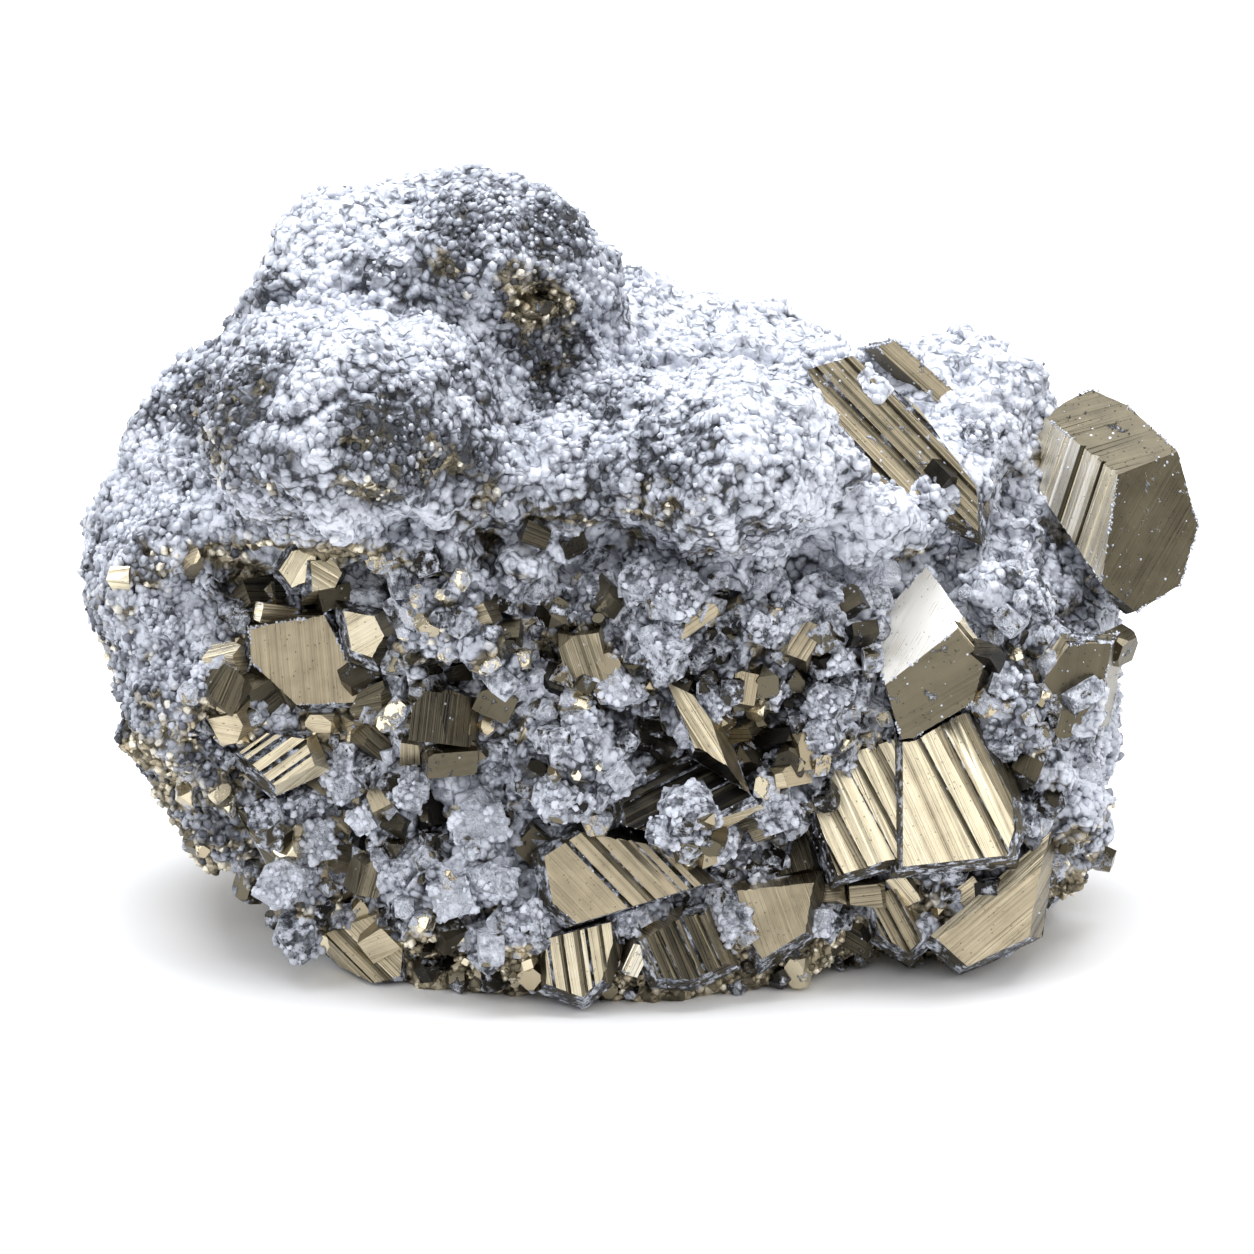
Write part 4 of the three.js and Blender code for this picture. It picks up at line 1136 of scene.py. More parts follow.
# Where the front view shows them: right, up, width and height in millimetres, angle and finish, whose
# brightness is partly painted reflection
MIDDLE_CRYSTALS = (
    (-36.3, 31.5, 6.5, 2.6, 12, "dark ribs"), (-35, 29.6, 5.6, 2, -8, "silver ribs"),
    (-29.5, 31.3, 3.4, 2.2, 15, "shaded"), (-40, 24.9, 3.4, 2.6, 5, "silver ribs"),
    (-40.2, 22.2, 3, 3.6, 70, "dark ribs"), (-36.6, 22.1, 4.6, 4.4, 30, "dark ribs"),
    (-38.8, 19.2, 3.8, 3.2, 10, "tan"), (-30.3, 19, 3, 1.8, 0, "tan"),
    (-27.4, 18.3, 2.4, 2.2, 0, "silver ribs"), (-24.6, 20.2, 4.6, 4.4, 20, "dark ribs"),
    (-26.6, 23.4, 4, 3, 25, "shaded"), (-18.3, 19.2, 5, 4.6, 85, "dark ribs"),
    (-17.9, 15.6, 5, 2.8, 5, "brown"), (-21.5, 16.4, 2.4, 3, 80, "olive ribs"),
    (-24.9, 16.2, 6, 2.2, -35, "olive ribs"), (-12.9, 21.4, 3.8, 4.2, 60, "brown"),
    (-9.7, 19, 2, 5, 76, "tan ribs"), (-4.3, 25.4, 4.4, 6, -80, "olive ribs"),
    (-28, 13.8, 4.8, 4.4, 25, "snow"), (-30.5, 12.6, 5, 3, -35, "brown"),
    (-35.6, 9.4, 3.6, 2.8, 10, "slate"), (-32.1, 10.4, 4.6, 3.8, 30, "slate"), (-34, 3, 4, 5, 60, "snow"),
    (-31.8, 6.9, 4.4, 4, 10, "snow"), (-21.7, 11.9, 2.8, 3.4, 75, "snow"),
    (-24.6, 11, 2, 3.6, -60, "tan"), (-26.4, 9.2, 2.2, 2.4, 30, "snow"),
    (-23, 8.6, 2.4, 2, -20, "shaded"), (-20.2, 10.2, 3, 4, -80, "black ribs"),
    (-15.1, 9, 5.4, 3.4, 15, "snow"), (-12.6, 13.9, 3, 2.2, 5, "snow"),
    (-13.4, 16.4, 4, 2.2, -10, "slate"), (-8.6, 18.2, 3.4, 3, 40, "slate"),
    (-4.6, 18.4, 3, 3.4, 10, "snow"), (-1.4, 22, 4.2, 3.6, 25, "snow"),
    (-6.6, 11.3, 4.6, 3.6, -20, "slate"), (-9.7, 6.9, 3.6, 3.4, -40, "brown"),
    (-21.7, 4.6, 3.4, 4.4, 60, "snow"), (-17.6, 2.2, 3.6, 4, 20, "snow"), (-13.2, 3, 3.4, 3, -20, "snow"),
    (-10.4, -0.8, 4.4, 3.4, 10, "slate"), (-26.2, 3.9, 2.4, 4, 80, "dark ribs"),
    (-28.7, 5, 2.2, 2.6, 0, "tan"), (-24.6, -1.8, 3.8, 3.8, 30, "gold"),
    (-18, -2.2, 2.6, 2.6, -60, "brown"), (-15.7, -2.2, 2.4, 2.4, 20, "snow"),
    (-28.4, -0.8, 3.2, 2.8, 10, "slate"), (-33, -2.4, 3.4, 3.6, 40, "slate"),
    (0.9, 32.3, 3.4, 3.4, 15, "slate"), (4.9, 30.8, 3.6, 4.4, 40, "slate"),
    (-2.3, 31.4, 2.4, 3, 70, "brown"), (0.6, 27.2, 3.8, 3.6, -10, "slate"),
    (3.6, 26.2, 3.6, 3, 30, "slate"), (6.6, 28.9, 4.6, 1.6, 35, "olive ribs"),
    (9.6, 27.6, 4.2, 3.8, 15, "slate"), (12.6, 28.4, 2.4, 3.4, -30, "slate"),
    (15, 29, 3.4, 5, 75, "slate"), (10.4, 30.4, 3, 2, 20, "tan"),
    (17.3, 26.5, 2.4, 4.6, 62, "olive ribs"), (2.8, 23.4, 3, 3, 30, "slate"),
    (5.6, 22.2, 2.6, 3, -20, "shaded"), (8.5, 21.4, 3.2, 4, 70, "slate"),
    (11, 22, 2.4, 3.2, 78, "olive ribs"), (14.2, 22, 2.8, 2.8, -30, "slate"),
    (10.6, 18, 4.4, 1.6, 14, "olive ribs"), (14.8, 17.4, 4, 2.4, 15, "black ribs"),
    (20.2, 25, 3.6, 3.4, 30, "slate"), (22.5, 27.5, 3, 2.6, 0, "shaded"),
    (19.6, 21, 3.2, 3.4, 50, "slate"), (18.6, 18, 3.6, 3.4, 20, "slate"),
    (16.4, 15.6, 3, 2.6, -20, "shaded"), (21, 15.8, 2.6, 3, 70, "slate"),
    (11.4, 15.4, 3.2, 3.8, 70, "shaded"), (15.6, 13.6, 3.6, 2.2, 10, "tan"),
    (14.8, 10.8, 4, 3.8, 20, "slate"), (6, 10.4, 4.4, 4, 25, "slate"), (8.4, 7.4, 3.2, 3.4, 60, "slate"),
    (3.4, 8, 2.6, 2.6, 0, "slate"), (11.6, 7.9, 4.4, 2.6, 17, "silver ribs"),
    (13.6, 4.2, 4, 3.4, 15, "snow"), (10, -1, 2.8, 4.4, -70, "snow"),
    (16.3, 5.8, 3.8, 5, -72, "dark ribs"), (20, 1.6, 3, 2.4, 5, "tan"),
    (23.4, 1.8, 3.6, 2.6, 5, "olive ribs"), (22.6, -2, 3, 2.6, -30, "dark ribs"),
    (18.8, -0.6, 2.6, 2.6, 0, "snow"), (29.2, -1.6, 2, 3, -70, "snow"),
    (27.4, 3, 2, 3.6, -62, "tan ribs"), (33.4, 2, 3, 2.2, 40, "tan ribs"),
    (39.6, 10, 2.8, 4.6, 80, "snow"), (39, 14.4, 3.4, 3, 60, "brown"), (36.6, 16.8, 3, 2.6, 10, "slate"),
    (36.8, 22.6, 2.8, 3.2, 70, "slate"), (34.7, 25.6, 4.4, 1.8, -15, "black ribs"),
    (37.6, 26.4, 3.4, 1.6, -30, "silver ribs"), (40, 31, 2.4, 4.6, -70, "slate"),
    (31, 43, 3, 2.4, -40, "shaded"), (34.4, 47, 2.8, 2.6, 20, "slate"), (22, 30.6, 3, 2.4, 30, "brown"),
    (-43.4, 34.6, 2, 1.8, 20, "tan"), (-45.7, 28.7, 2.6, 3, 70, "slate"),
    (-47.6, 30, 2, 2.2, 60, "slate"), (-50.5, 33, 2.2, 1.6, 0, "cream ribs"),
    (-6, 36.5, 2.6, 2, 20, "shaded"), (-9.5, 37.4, 2.6, 2.2, -20, "dark ribs"),
    (-14.5, 29.6, 3, 2.4, 20, "olive ribs"), (-11.8, 27.6, 2.4, 2.4, 0, "brown"),
    (-17, 24.6, 3, 2.2, 15, "shaded"), (-7.4, 22.8, 2.4, 3, 70, "black ribs"),
    (0.4, -4, 2.2, 3.6, 75, "silver ribs"), (-0.4, -1.2, 3, 2.4, 10, "slate"),
    (48.5, 26.4, 2.4, 3, 60, "brown"), (45, 15, 3, 2.6, 20, "slate"), (-9.5, 60.4, 3, 1.4, -20, "brown"),
)


# How many corners and edges a block loses, and how deep the cuts are beside its smaller side
BLOCK_CUTS = 5
CUT_DEPTH = (0.08, 0.3)


def block_solid(width, height, depth, rng):
    """A box with some of its corners and edges cut off at random, standing for one crystal."""
    shape = bmesh.new()
    bmesh.ops.create_cube(shape, size=1.0)
    bmesh.ops.scale(shape, vec=(width, height, depth), verts=shape.verts)
    for _ in range(BLOCK_CUTS):
        outward = Vector([rng.choice((-1, 0, 1)) + rng.uniform(-0.3, 0.3) for _ in range(3)]).normalized()
        reach = max(vert.co.dot(outward) for vert in shape.verts)
        cut_off(shape, outward * (reach - rng.uniform(*CUT_DEPTH) * min(width, height)), outward)
    bmesh.ops.recalc_face_normals(shape, faces=shape.faces)
    return shape


def middle_crystal(nearest, row, sizes, rng):
    """One crystal of middling size on this spot, as a bmesh, with the look of each face stored on it."""
    _, _, width, height, angle, finish = row
    depth = 0.9 * min(width, height) + 1
    shape = block_solid(width * MM, height * MM, depth * MM, rng)
    turn = Euler((rng.uniform(-1, 1) * sizes.tilt, rng.uniform(-1, 1) * sizes.tilt, 0)).to_matrix()
    spin = Matrix.Rotation(math.radians(angle if width > height else angle + 90), 3, "Z")
    middle = Matrix.Translation(nearest - NEAR * sizes.sink * depth * MM)
    place = middle @ (FRONT_VIEW @ turn @ spin).to_4x4()
    bmesh.ops.transform(shape, matrix=place, verts=shape.verts)
    shape.normal_update()
    along = seen_direction(NEAR, angle)
    layers = look_layers(shape)
    bright, variety, _, lines, frost = FINISHES_AND_PAINTED_LIGHT[finish]
    for face in shape.faces:
        face[layers["bright"]] = bright + (variety + 0.08) * rng.uniform(-1.3, 0.8)
        face[layers["lines"]] = lines
        face[layers["frost"]] = frost + 0.08
        face[layers["across"]] = face.normal.cross(along).normalized()
    bmesh.ops.triangulate(shape, faces=shape.faces)
    return shape


def add_shape(whole, shape):
    """Moves a shape into the bmesh of a whole piece."""
    mesh = bpy.data.meshes.new("one")
    shape.to_mesh(mesh)
    shape.free()
    whole.from_mesh(mesh)
    bpy.data.meshes.remove(mesh)


class PYRITE_OT_middle_crystals(bpy.types.Operator):
    """Place the crystals of middling size between the large ones"""

    bl_idname = "pyrite.middle_crystals"
    bl_label = "Middle crystals"

    def execute(self, context):
        sizes = context.scene.pyrite_middle
        rng = random.Random(sizes.seed)
        ground = bmesh.new()
        ground.from_mesh(bpy.data.meshes[SKIN_PATTERN])
        grounds = (BVHTree.FromBMesh(ground), crystals_tree())
        ground.free()
        whole = bmesh.new()
        for row in MIDDLE_CRYSTALS:
            add_shape(whole, middle_crystal(seen_spot(grounds, *row[:2]), row, sizes, rng))
        piece = to_piece("middle_crystals", whole, pyrite_material("middle_pyrite"))
        give(piece, "tan_pyrite")
        bpy.data.meshes.remove(bpy.data.meshes[SKIN_PATTERN])
        return {"FINISHED"}


# The large crystals

class RibSettings(bpy.types.PropertyGroup):
    """The ribs on the faces of the large crystals."""

    spacing: length("Spacing", "Usual distance between two ribs", 0.42)
    depth: length("Depth", "Greatest depth between two ribs", 0.16)
    smallest_face: bpy.props.FloatProperty(
        name="Smallest face", description="Area under which a face stays plain",
        default=2 * MM * MM, unit="AREA")
    seed: bpy.props.IntProperty(name="Seed", description="Another number gives other ribs", default=11)


# The finish of the faces that aren't listed below and look straight at the viewer, such as the walls of a
# groove, by the crystal's slot, and how straight they have to look. The others are crusted.
GROOVE_FACING = 0.75
GROOVE_FINISHES = {
    "bright_pyrite": "groove",
    "tan_pyrite": "groove",
    "olive_pyrite": "dark ribs",
    "black_pyrite": "black ribs",
}
# The faces that the front view shows: right and up in millimetres, the angle of the ribs, and the finish,
# whose brightness is partly painted reflection
SEEN_FACES = {
    "end_crystal": (
        (44, 42, -108, "pale ribs"), (45, 41.5, -108, "pale ribs"), (46.5, 39.5, -108, "pale ribs"),
        (43, 44, -108, "white"), (48, 47.5, 15, "shaded"), (51.5, 37.5, 60, "brown"),
    ),
    "lower_end_crystal": ((44, 22, 80, "brown"), (48, 23, 80, "brown"), (42, 25.5, 60, "silver ribs")),
    "arrow_crystal": (
        (28, 28.5, 60, "white"), (30, 22.5, 30, "brown"), (33.5, 27, -50, "silver ribs"),
        (32, 30, -50, "white"), (35, 23, -60, "olive ribs"),
    ),
    "bright_striated_crystal": (
        (22.5, 10, -66, "cream ribs"), (31.5, 11, -66, "cream ribs"), (23, 10, -66, "gold"),
        (35, 15, -66, "olive ribs"), (33.5, 12, -66, "olive ribs"), (36, 15.5, -66, "dark ribs"),
    ),
    "front_wedge_crystal": (
        (-3, 3, -46, "tan"), (2.5, 4.5, -46, "tan"), (-1, 8, -60, "dark ribs"),
        (6.5, 4.5, -46, "olive ribs"), (-0.5, 4, -46, "olive ribs"),
    ),
    "black_striated_crystal": (
        (5, 11.5, 27, "black ribs"), (3, 12, 27, "black ribs"), (5.5, 10.5, 27, "dark ribs"),
        (6.5, 18.5, -58, "silver ribs"), (10, 16, -58, "olive ribs"), (9, 8.5, 15, "silver ribs"),
        (8.5, 14.5, 27, "black ribs"), (1, 14, 27, "olive ribs"),
    ),
    "window_crystal": ((-32, 25, -85, "tan"), (-34, 29.5, 0, "dark ribs"), (-35.5, 22, -60, "dark ribs")),
    "gold_twin": ((-33, 34, 60, "gold"), (-30, 33.5, -30, "gold"), (-31, 31, 0, "tan ribs")),
    "small_gold_crystal": ((-26.5, 27.5, 30, "gold"), (-24, 28.5, 30, "gold"), (-24.5, 26, 0, "dark ribs")),
    "left_gold_crystal": (
        (-35, 15.5, 38, "cream ribs"), (-32.5, 13, 38, "cream ribs"), (-31, 16, 38, "gold"),
    ),
    "left_plate_crystal": (
        (-31, 6.5, -40, "frosted"), (-35.5, 4.5, -40, "dark ribs"), (-29, 0.5, 20, "tan ribs"),
    ),
    "low_left_prism": (
        (-25, -3, -45, "tan ribs"), (-28.5, -5, -45, "silver ribs"), (-28, -0.5, -45, "gold"),
    ),
    "low_middle_crystal": (
        (-5.5, -4.5, -80, "cream ribs"), (-9, -5, -80, "dark ribs"), (-1.5, -5, -80, "dark ribs"),
    ),
    "low_dark_crystal": ((5, -4, -68, "dark ribs"), (9, -2, -68, "olive ribs"), (3, -1, -30, "tan ribs")),
    "low_tan_crystal": ((14.5, 0, -70, "tan"), (14.5, 3, -70, "tan ribs"), (18.5, 0.5, -70, "dark ribs")),
    "low_ribbed_prism": ((26.5, -1, -62, "olive ribs"), (28, -0.5, -62, "tan ribs")),
    "low_right_wedge": ((36.5, -1, 40, "tan"), (36.5, 2.5, 42, "cream ribs"), (41, 2, 60, "olive ribs")),
    "ridge_blade": ((26, 46.5, -46, "blade"), (27.5, 47.5, -46, "blade"), (25, 46.5, -46, "blade")),
    "upper_blade": ((28.5, 54, -42, "blade"), (26.5, 53.5, -42, "brown")),
    "brown_crystal": ((-18, 19.5, -80, "dark ribs"), (-17.5, 15.5, -10, "brown")),
}
CRYSTAL_SLOTS = {row["node"]: row["material_slot"] for row in frame["record"]["subparts"]}
# Faces lie in one plane where their normals' product is over SAME_WAY and their levels differ by less
# than SAME_LEVEL. Faces that meet at less than MERGE_ANGLE are joined.
SAME_WAY = 0.9995
SAME_LEVEL = 0.05 * MM
MERGE_ANGLE = math.radians(1)


def flat_groups(shape):
    """The solid's flat faces, each a list of the bmesh faces in one plane, the largest first."""
    groups = []
    for face in shape.faces:
        level = face.calc_center_median().dot(face.normal)
        for group in groups:
            same_way = group["normal"].dot(face.normal) > SAME_WAY
            if same_way and abs(group["level"] - level) < SAME_LEVEL:
                group["faces"].append(face)
                break
        else:
            groups.append({"normal": face.normal.copy(), "level": level, "faces": [face]})
    for group in groups:
        group["area"] = sum(face.calc_area() for face in group["faces"])
    return sorted(groups, key=lambda group: -group["area"])


def longest_edge(faces):
    edges = dict.fromkeys(edge for face in faces for edge in face.edges)
    longest = max(edges, key=lambda edge: edge.calc_length())
    return (longest.verts[1].co - longest.verts[0].co).normalized()


# How wide a rib is beside the usual distance, how often one is broader, and by how much
RIB_WIDTHS = (0.35, 1.7)
BROAD_SHARE = 0.15
BROAD_RIB = 3.0


def cut_ribs(shape, group, depth, sizes, rng):
    """Cuts a face along its ribs and moves each cut inwards by its own amount. Returns the strips."""
    across = group["across"]
    faces = group["faces"]
    reaches = [vert.co.dot(across) for face in faces for vert in face.verts]
    place = min(reaches)
    places = []
    lines = []
    while True:
        wide = BROAD_RIB if rng.random() < BROAD_SHARE else 1.0
        place += rng.uniform(*RIB_WIDTHS) * wide * sizes.spacing
        if place > max(reaches):
            break
        geom = dict.fromkeys(item for face in faces for item in (face, *face.edges, *face.verts))
        cut = bmesh.ops.bisect_plane(
            shape, geom=list(geom), dist=1e-7, plane_co=across * place, plane_no=across)
        faces = [item for item in cut["geom"] if isinstance(item, bmesh.types.BMFace)]
        places.append(place)
        lines.append([item for item in cut["geom_cut"] if isinstance(item, bmesh.types.BMVert)])
    strips = [[] for _ in range(len(places) + 1)]
    for face in faces:
        strips[bisect.bisect(places, face.calc_center_median().dot(across))].append(face)
    for line in lines:
        sink = group["normal"] * depth * rng.random() ** 1.5
        for vert in line:
            vert.co -= sink
    return strips


def whole_faces(node):
    """A copy of a crystal's solid whose flat faces are in one piece, as a bmesh."""
    shape = merged_copy(node)
    bmesh.ops.dissolve_limit(shape, angle_limit=MERGE_ANGLE, verts=shape.verts, edges=shape.edges)
    return shape


def seen_looks(node, shape, groups):
    """By the number of each group that the front view shows: the way its ribs run, and its finish."""
    tree = BVHTree.FromBMesh(shape)
    shape.faces.ensure_lookup_table()
    seen = {}
    for right, up, angle, finish in SEEN_FACES.get(node, ()):
        hit = tree.ray_cast(from_front(right, up, LOOK_START), -NEAR)[2]
        if hit is None:
            raise RuntimeError(f"no face of {node} is seen at {right}, {up}")
        for number, group in enumerate(groups):
            if shape.faces[hit] in group["faces"]:
                seen[number] = (seen_direction(group["normal"], angle), finish)
    return seen


def ribbed_crystal(node, material, sizes):
    """A copy of a crystal's solid with ribs cut in its faces, and each face's look stored on it."""
    rng = random.Random(f"{node} {sizes.seed}")
    shape = whole_faces(node)
    layers = look_layers(shape)
    groups = flat_groups(shape)
    seen = seen_looks(node, shape, groups)
    for number, group in enumerate(groups):
        flat = group["normal"].dot(NEAR) > GROOVE_FACING
        hidden = GROOVE_FINISHES[CRYSTAL_SLOTS[node]] if flat else "crusted"
        along, finish = seen.get(number, (None, hidden))
        group["look"] = FINISHES_AND_PAINTED_LIGHT[finish]
        group["across"] = group["normal"].cross(along or longest_edge(group["faces"])).normalized()
        for face in group["faces"]:
            face[layers["across"]] = group["across"]
    for group in groups:
        bright, variety, depth, lines, frost = group["look"]
        strips = [group["faces"]]
        if group["area"] > sizes.smallest_face:
            strips = cut_ribs(shape, group, sizes.depth * depth, sizes, rng)
        for strip in strips:
            tone = bright + variety * rng.uniform(-1.2, 0.6)
            for face in strip:
                face[layers["bright"]] = tone
                face[layers["lines"]] = lines
                face[layers["frost"]] = frost
    bmesh.ops.triangulate(shape, faces=shape.faces)
    return to_piece(f"{node}_ribbed", shape, material)


class PYRITE_OT_large_crystals(bpy.types.Operator):
    """Cut the ribs of the large crystals"""

    bl_idname = "pyrite.large_crystals"
    bl_label = "Large crystals"

    def execute(self, context):
        sizes = context.scene.pyrite_ribs
        materials = {slot: pyrite_material(slot) for slot in GROOVE_FINISHES}
        for node in crystal_nodes():
            slot = CRYSTAL_SLOTS[node]
            give(ribbed_crystal(node, materials[slot], sizes), slot, node)
        return {"FINISHED"}


# Frost on the crystals

class FrostSettings(bpy.types.PropertyGroup):
    """The white grains on the large crystals, and the larger ones on the middle crystals."""

    step: length("Step", "Distance between grains along an edge", 0.13)
    smallest: length("Smallest", "Width of the smallest grain", 0.1)
    largest: length("Largest", "Width of the largest grain", 0.36)
    specks: bpy.props.FloatProperty(
        name="Specks", description="Grains on each square millimetre of a frosted face", default=0.8)
    speckled_face: bpy.props.FloatProperty(
        name="Speckled face", description="Area under which a face has no grains",
        default=1.5 * MM * MM, unit="AREA")
    lumps: bpy.props.FloatProperty(
        name="Lumps", description="Larger grains on each square millimetre of a frosted block", default=1.5)
    smallest_lump: length("Smallest lump", "Width of the smallest grain on a block", 0.35)
    largest_lump: length("Largest lump", "Width of the largest grain on a block", 1.15)
    cells: bpy.props.IntProperty(
        name="Cells", description="Grains along one side of the unwrapping", default=90)
    lump_cells: bpy.props.IntProperty(
        name="Lump cells", description="Larger grains along one side of the unwrapping", default=70)
    seed: bpy.props.IntProperty(name="Seed", description="Another number gives other grains", default=3)


# Edges with frost: the crystals, the least face beside one, its least length and turn, and the noise that
# leaves frost on it: how wide its patches are, the level above which it does, and how far a grain strays
FROSTED_EDGES = ("end_crystal", "lower_end_crystal", "arrow_crystal", "upper_blade", "window_crystal")
LEAST_FACE = 8 * MM * MM
LEAST_EDGE = 1.2 * MM
LEAST_TURN = math.radians(20)
EDGE_PATCH = 1.7 * MM
EDGE_LEVEL = 0.22
EDGE_STRAY = 0.12


def edge_points(shape, sizes, rng):
    """Places along the sharp edges of a solid, where noise leaves frost."""
    points = []
    for edge in shape.edges:
        narrow = min((face.calc_area() for face in edge.link_faces), default=0.0) < LEAST_FACE
        if narrow or edge.calc_length() < LEAST_EDGE or edge.calc_face_angle(0.0) < LEAST_TURN:
            continue
        start, end = (vert.co for vert in edge.verts)
        for number in range(int(edge.calc_length() / sizes.step)):
            spot = start.lerp(end, (number + rng.random()) * sizes.step / edge.calc_length())
            if noise.noise(spot / EDGE_PATCH) + 0.3 * rng.random() > EDGE_LEVEL:
                stray = Vector([rng.uniform(-EDGE_STRAY, EDGE_STRAY) * MM for _ in range(3)])
                points.append(spot + stray)
    return points


def random_spot(face, rng):
    """A random place on a triangle."""
    first, second = sorted((rng.random(), rng.random()))
    corners = [vert.co for vert in face.verts]
    return corners[0] * first + corners[1] * (second - first) + corners[2] * (1 - second)


def face_points(shape, sizes, rng):
    """Places spread over the faces that carry frost, more on the frostier ones."""
    points = []
    frost = shape.faces.layers.float["frost"]
    for face in shape.faces:
        if face.calc_area() < sizes.speckled_face:
            continue
        wanted = face.calc_area() / (MM * MM) * sizes.specks * face[frost]
        points.extend(random_spot(face, rng) for _ in range(int(wanted + rng.random())))
    return points


# Larger grains: the frost from which a face has them, how far it may look away from the viewer of the
# front, how wide their patches are, and the noise above which there is one
LUMP_FROST = 0.9
LUMP_FACING = -0.3
LUMP_PATCH = 1.6 * MM
LUMP_LEVEL = -0.12


def lump_points(sizes, rng):
    """Places in patches on the frosted middle crystals, each with how pale its grain is, which follows the
    face's brightness and so its painted reflection.
    """
    points = []
    shape = bmesh.new()
    shape.from_mesh(bpy.data.objects["middle_crystals"].data)
    frost, bright = (shape.faces.layers.float[name] for name in ("frost", "bright"))
    for face in shape.faces:
        if face[frost] < LUMP_FROST or face.normal.dot(NEAR) < LUMP_FACING:
            continue
        for _ in range(int(face.calc_area() / (MM * MM) * sizes.lumps + rng.random())):
            spot = random_spot(face, rng)
            patch = noise.noise(spot / LUMP_PATCH)
            if patch > LUMP_LEVEL:
                points.append((spot, 0.56 + 0.5 * face[bright] + 0.8 * patch))
    shape.free()
    return points


# The height under which a crystal carries no grains, and how dusty those of the large crystals are
LOWEST_GRAIN = 1 * MM
GRAIN_DUST = 0.8


def put_grains(tree, name, points, smallest, largest, cells):
    """A piece of grains at these places, each with how pale it is (dust and painted light), clear of the
    floor.
    """
    points = [(spot, dust) for spot, dust in points if spot.z > LOWEST_GRAIN]
    mesh = bpy.data.meshes.new(name)
    mesh.from_pydata([spot for spot, _ in points], [], [])
    store(mesh, "dust", [dust for _, dust in points])
    store(mesh, "brass", [0.0] * len(points))
    piece = new_object(name, mesh)
    tree.put_on(piece, Smallest=smallest, Largest=largest, Cells=float(cells))
    give(piece, "grey_crust")


class PYRITE_OT_frost(bpy.types.Operator):
    """Put white grains on the large crystals and larger ones on the middle crystals, in two pieces"""

    bl_idname = "pyrite.frost"
    bl_label = "Frost"

    def execute(self, context):
        sizes = context.scene.pyrite_frost
        rng = random.Random(sizes.seed)
        spots = []
        for node in crystal_nodes():
            shape = bmesh.new()
            shape.from_mesh(bpy.data.objects[f"{node}_ribbed"].data)
            spots.extend(face_points(shape, sizes, rng))
            shape.free()
            if node not in FROSTED_EDGES:
                continue
            solid = whole_faces(node)
            spots.extend(edge_points(solid, sizes, rng))
            solid.free()
        chips = grain_chips()
        tree = scatter_tree("place_frost", chips, bpy.data.materials["crust_grains"], on_points=True)
        dusted = [(spot, GRAIN_DUST) for spot in spots]
        put_grains(tree, "frost", dusted, sizes.smallest, sizes.largest, sizes.cells)
        lumps = lump_points(sizes, rng)
        put_grains(tree, "druse", lumps, sizes.smallest_lump, sizes.largest_lump, sizes.lump_cells)
        for chip in chips:
            drop_object(chip)
        return {"FINISHED"}


# The studio

class StageSettings(bpy.types.PropertyGroup):
    """The floor, the lights and the camera."""

    floor_colour: bpy.props.FloatVectorProperty(
        name="Floor colour", description="Colour of the floor and the backdrop",
        subtype="COLOR", default=(0.93, 0.93, 0.93), min=0, max=1)
    top_power: bpy.props.FloatProperty(
        name="Top light", description="Power of the large light above", default=13.2, unit="POWER")
    front_power: bpy.props.FloatProperty(
        name="Front light", description="Power of the light above the camera", default=4.2, unit="POWER")
    side_power: bpy.props.FloatProperty(
        name="Side lights", description="Power of each side light", default=3.0, unit="POWER")
    world: bpy.props.FloatProperty(name="Room light", description="Brightness of the room", default=0.42)
    camera_distance: length("Camera distance", "From the middle of the view", 2787)
    lens: bpy.props.FloatProperty(name="Lens", description="Focal length in millimetres", default=800.0)


# The camera: its sensor's width, and how far to the right it aims, in millimetres of the front view
SENSOR_WIDTH = 36
CAMERA_RIGHT = -0.3
# How many flat strips the backdrop's bend has, and the point that the lights look at
BEND_STEPS = 12
LIT_MIDDLE = Vector((0, 0, 35 * MM))
WHITE_LIGHT = (1.0, 1.0, 1.0)
COOL_LIGHT = (0.95, 0.97, 1.0)
WARM_LIGHT = (1.0, 0.98, 0.95)
# The lights: place, width, height, the setting that holds the power and the share of it, and colour
LIGHTS = {
    "top_light": ((0, 0.12, 0.85), 1.0, 0.7, "top_power", 1.0, COOL_LIGHT),
    "front_light": ((0.1, -1.0, 0.85), 1.2, 0.7, "front_power", 1.0, WHITE_LIGHT),
    "left_light": ((-0.85, -0.25, 0.5), 0.6, 0.6, "side_power", 1.0, COOL_LIGHT),
    "right_light": ((0.85, -0.3, 0.45), 0.5, 0.6, "side_power", 0.8, WARM_LIGHT),
}


def sweep_mesh(half_width, near, far, bend, height):
    """A floor that bends up into a backdrop behind."""
    outline = [(near, 0.0), (far, 0.0)]
    for step in range(1, BEND_STEPS + 1):
        angle = math.radians(90 * step / BEND_STEPS)
        outline.append((far + bend * math.sin(angle), bend * (1 - math.cos(angle))))
    outline.append((far + bend, height))
    shape = bmesh.new()
    rows = [[shape.verts.new((x, y, z)) for x in (-half_width, half_width)] for y, z in outline]
    for (left, right), (next_left, next_right) in zip(rows, rows[1:]):
        shape.faces.new((left, right, next_right, next_left)).smooth = True
    return shape


def soft_light(name, place, width, height, power, colour):
    """A large soft light that looks at the middle of the cluster."""
    light = bpy.data.lights.new(name, "AREA")
    light.shape = "RECTANGLE"
    light.size = width
    light.size_y = height
    light.energy = power
    light.color = colour
    made = bpy.data.objects.new(name, light)
    made.location = place
    made.rotation_euler = (LIT_MIDDLE - Vector(place)).to_track_quat("-Z", "Y").to_euler()
    bpy.context.scene.collection.objects.link(made)


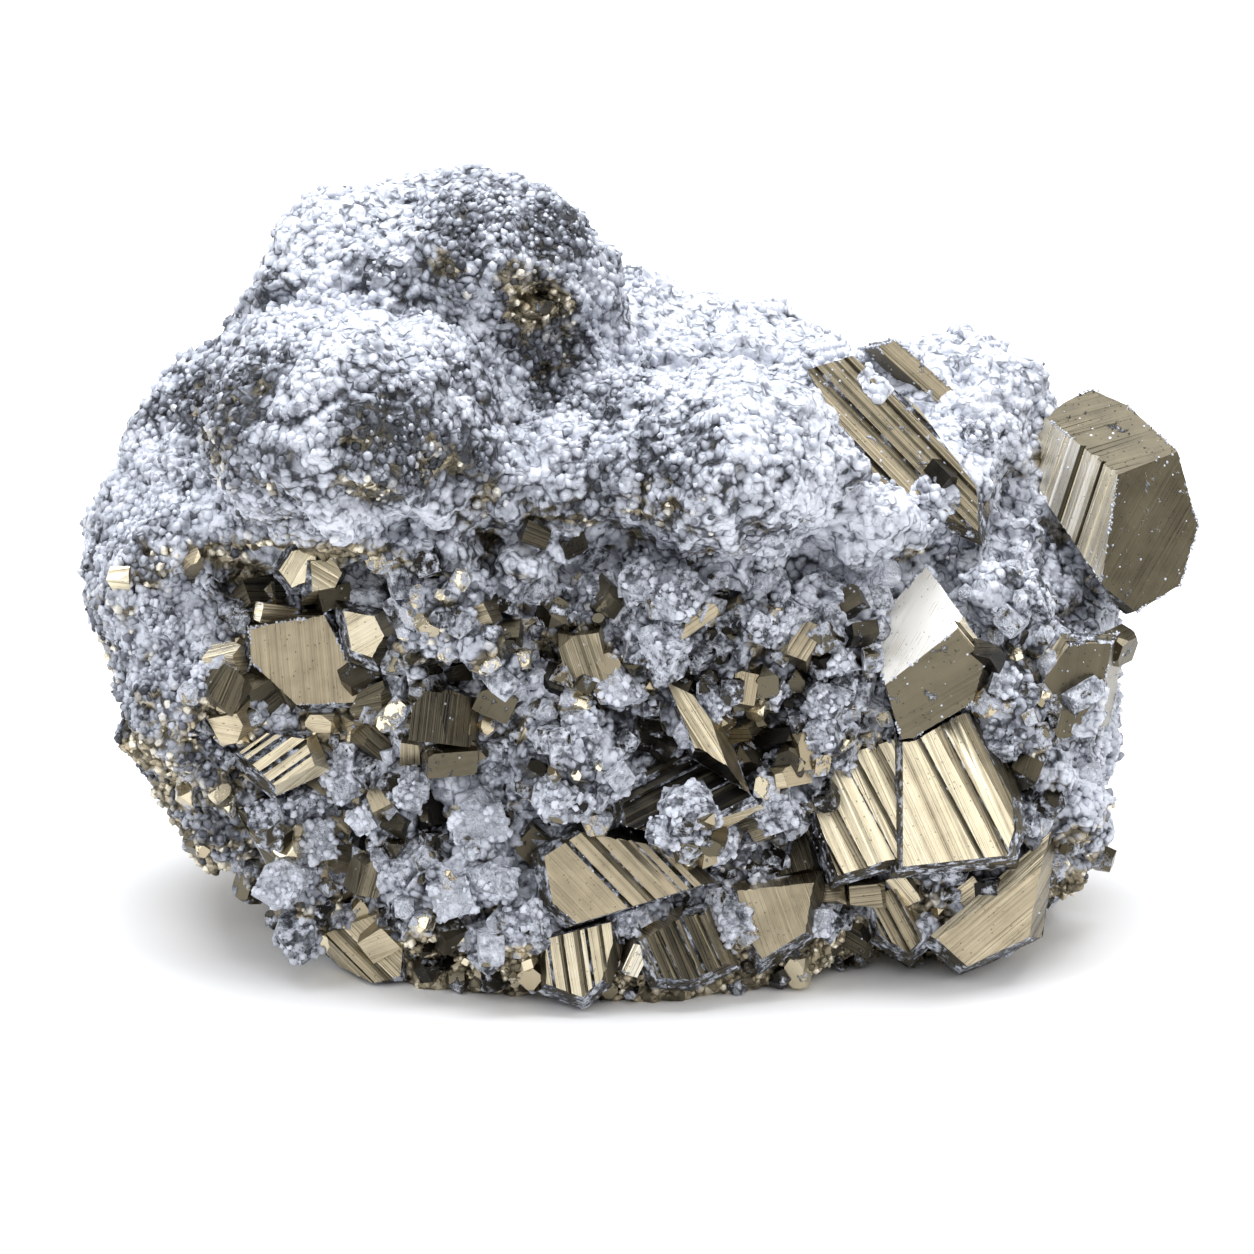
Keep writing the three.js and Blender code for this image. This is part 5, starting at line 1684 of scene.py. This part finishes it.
class PYRITE_OT_stage(bpy.types.Operator):
    """Build the floor, the lights and the camera"""

    bl_idname = "pyrite.stage"
    bl_label = "Studio"

    def execute(self, context):
        sizes = context.scene.pyrite_stage
        sweep = sweep_mesh(half_width=4.0, near=-4.0, far=3.4, bend=0.8, height=3.2)
        floor = to_piece("floor", sweep, stage_material("floor", sizes.floor_colour))
        for name, (place, width, height, power, share, colour) in LIGHTS.items():
            soft_light(name, place, width, height, getattr(sizes, power) * share, colour)
        world = bpy.data.worlds.new("room")
        world.use_nodes = True
        room = world.node_tree.nodes["Background"]
        room.inputs["Color"].default_value = opaque(WHITE_LIGHT)
        room.inputs["Strength"].default_value = sizes.world
        context.scene.world = world
        context.scene.view_settings.view_transform = "Standard"
        lens = bpy.data.cameras.new("camera")
        lens.lens = sizes.lens
        lens.sensor_width = SENSOR_WIDTH
        camera = bpy.data.objects.new("camera", lens)
        camera.location = from_front(CAMERA_RIGHT, VIEW_HEIGHT) + NEAR * sizes.camera_distance
        camera.rotation_euler = (-NEAR).to_track_quat("-Z", "Y").to_euler()
        context.scene.collection.objects.link(camera)
        context.scene.camera = camera
        return {"FINISHED"}


class PYRITE_PT_panel(bpy.types.Panel):
    """Lists the steps of the cluster in the sidebar"""

    bl_idname = "PYRITE_PT_panel"
    bl_label = "Pyrite cluster"
    bl_space_type = "VIEW_3D"
    bl_region_type = "UI"
    bl_category = "Pyrite"

    def draw(self, context):
        for operator, name, _ in STEPS:
            self.layout.operator(operator.bl_idname)
            settings = getattr(context.scene, name)
            for setting in settings.__annotations__:
                self.layout.prop(settings, setting)


# Each step with the name and the kind of its settings
STEPS = (
    (PYRITE_OT_crust, "pyrite_crust", CrustSettings),
    (PYRITE_OT_grains, "pyrite_grains", GrainSettings),
    (PYRITE_OT_small_crystals, "pyrite_blocks", BlockSettings),
    (PYRITE_OT_middle_crystals, "pyrite_middle", MiddleSettings),
    (PYRITE_OT_large_crystals, "pyrite_ribs", RibSettings),
    (PYRITE_OT_frost, "pyrite_frost", FrostSettings),
    (PYRITE_OT_stage, "pyrite_stage", StageSettings),
)


def register():
    for operator, name, settings in STEPS:
        bpy.utils.register_class(settings)
        setattr(bpy.types.Scene, name, bpy.props.PointerProperty(type=settings))
        bpy.utils.register_class(operator)
    bpy.utils.register_class(PYRITE_PT_panel)


def unregister():
    bpy.utils.unregister_class(PYRITE_PT_panel)
    for operator, name, settings in reversed(STEPS):
        bpy.utils.unregister_class(operator)
        delattr(bpy.types.Scene, name)
        bpy.utils.unregister_class(settings)


def main():
    register()
    bpy.ops.pyrite.crust()
    bpy.ops.pyrite.grains()
    bpy.ops.pyrite.small_crystals()
    bpy.ops.pyrite.middle_crystals()
    bpy.ops.pyrite.large_crystals()
    bpy.ops.pyrite.frost()
    bpy.ops.pyrite.stage()


if __name__ == "__main__":
    main()
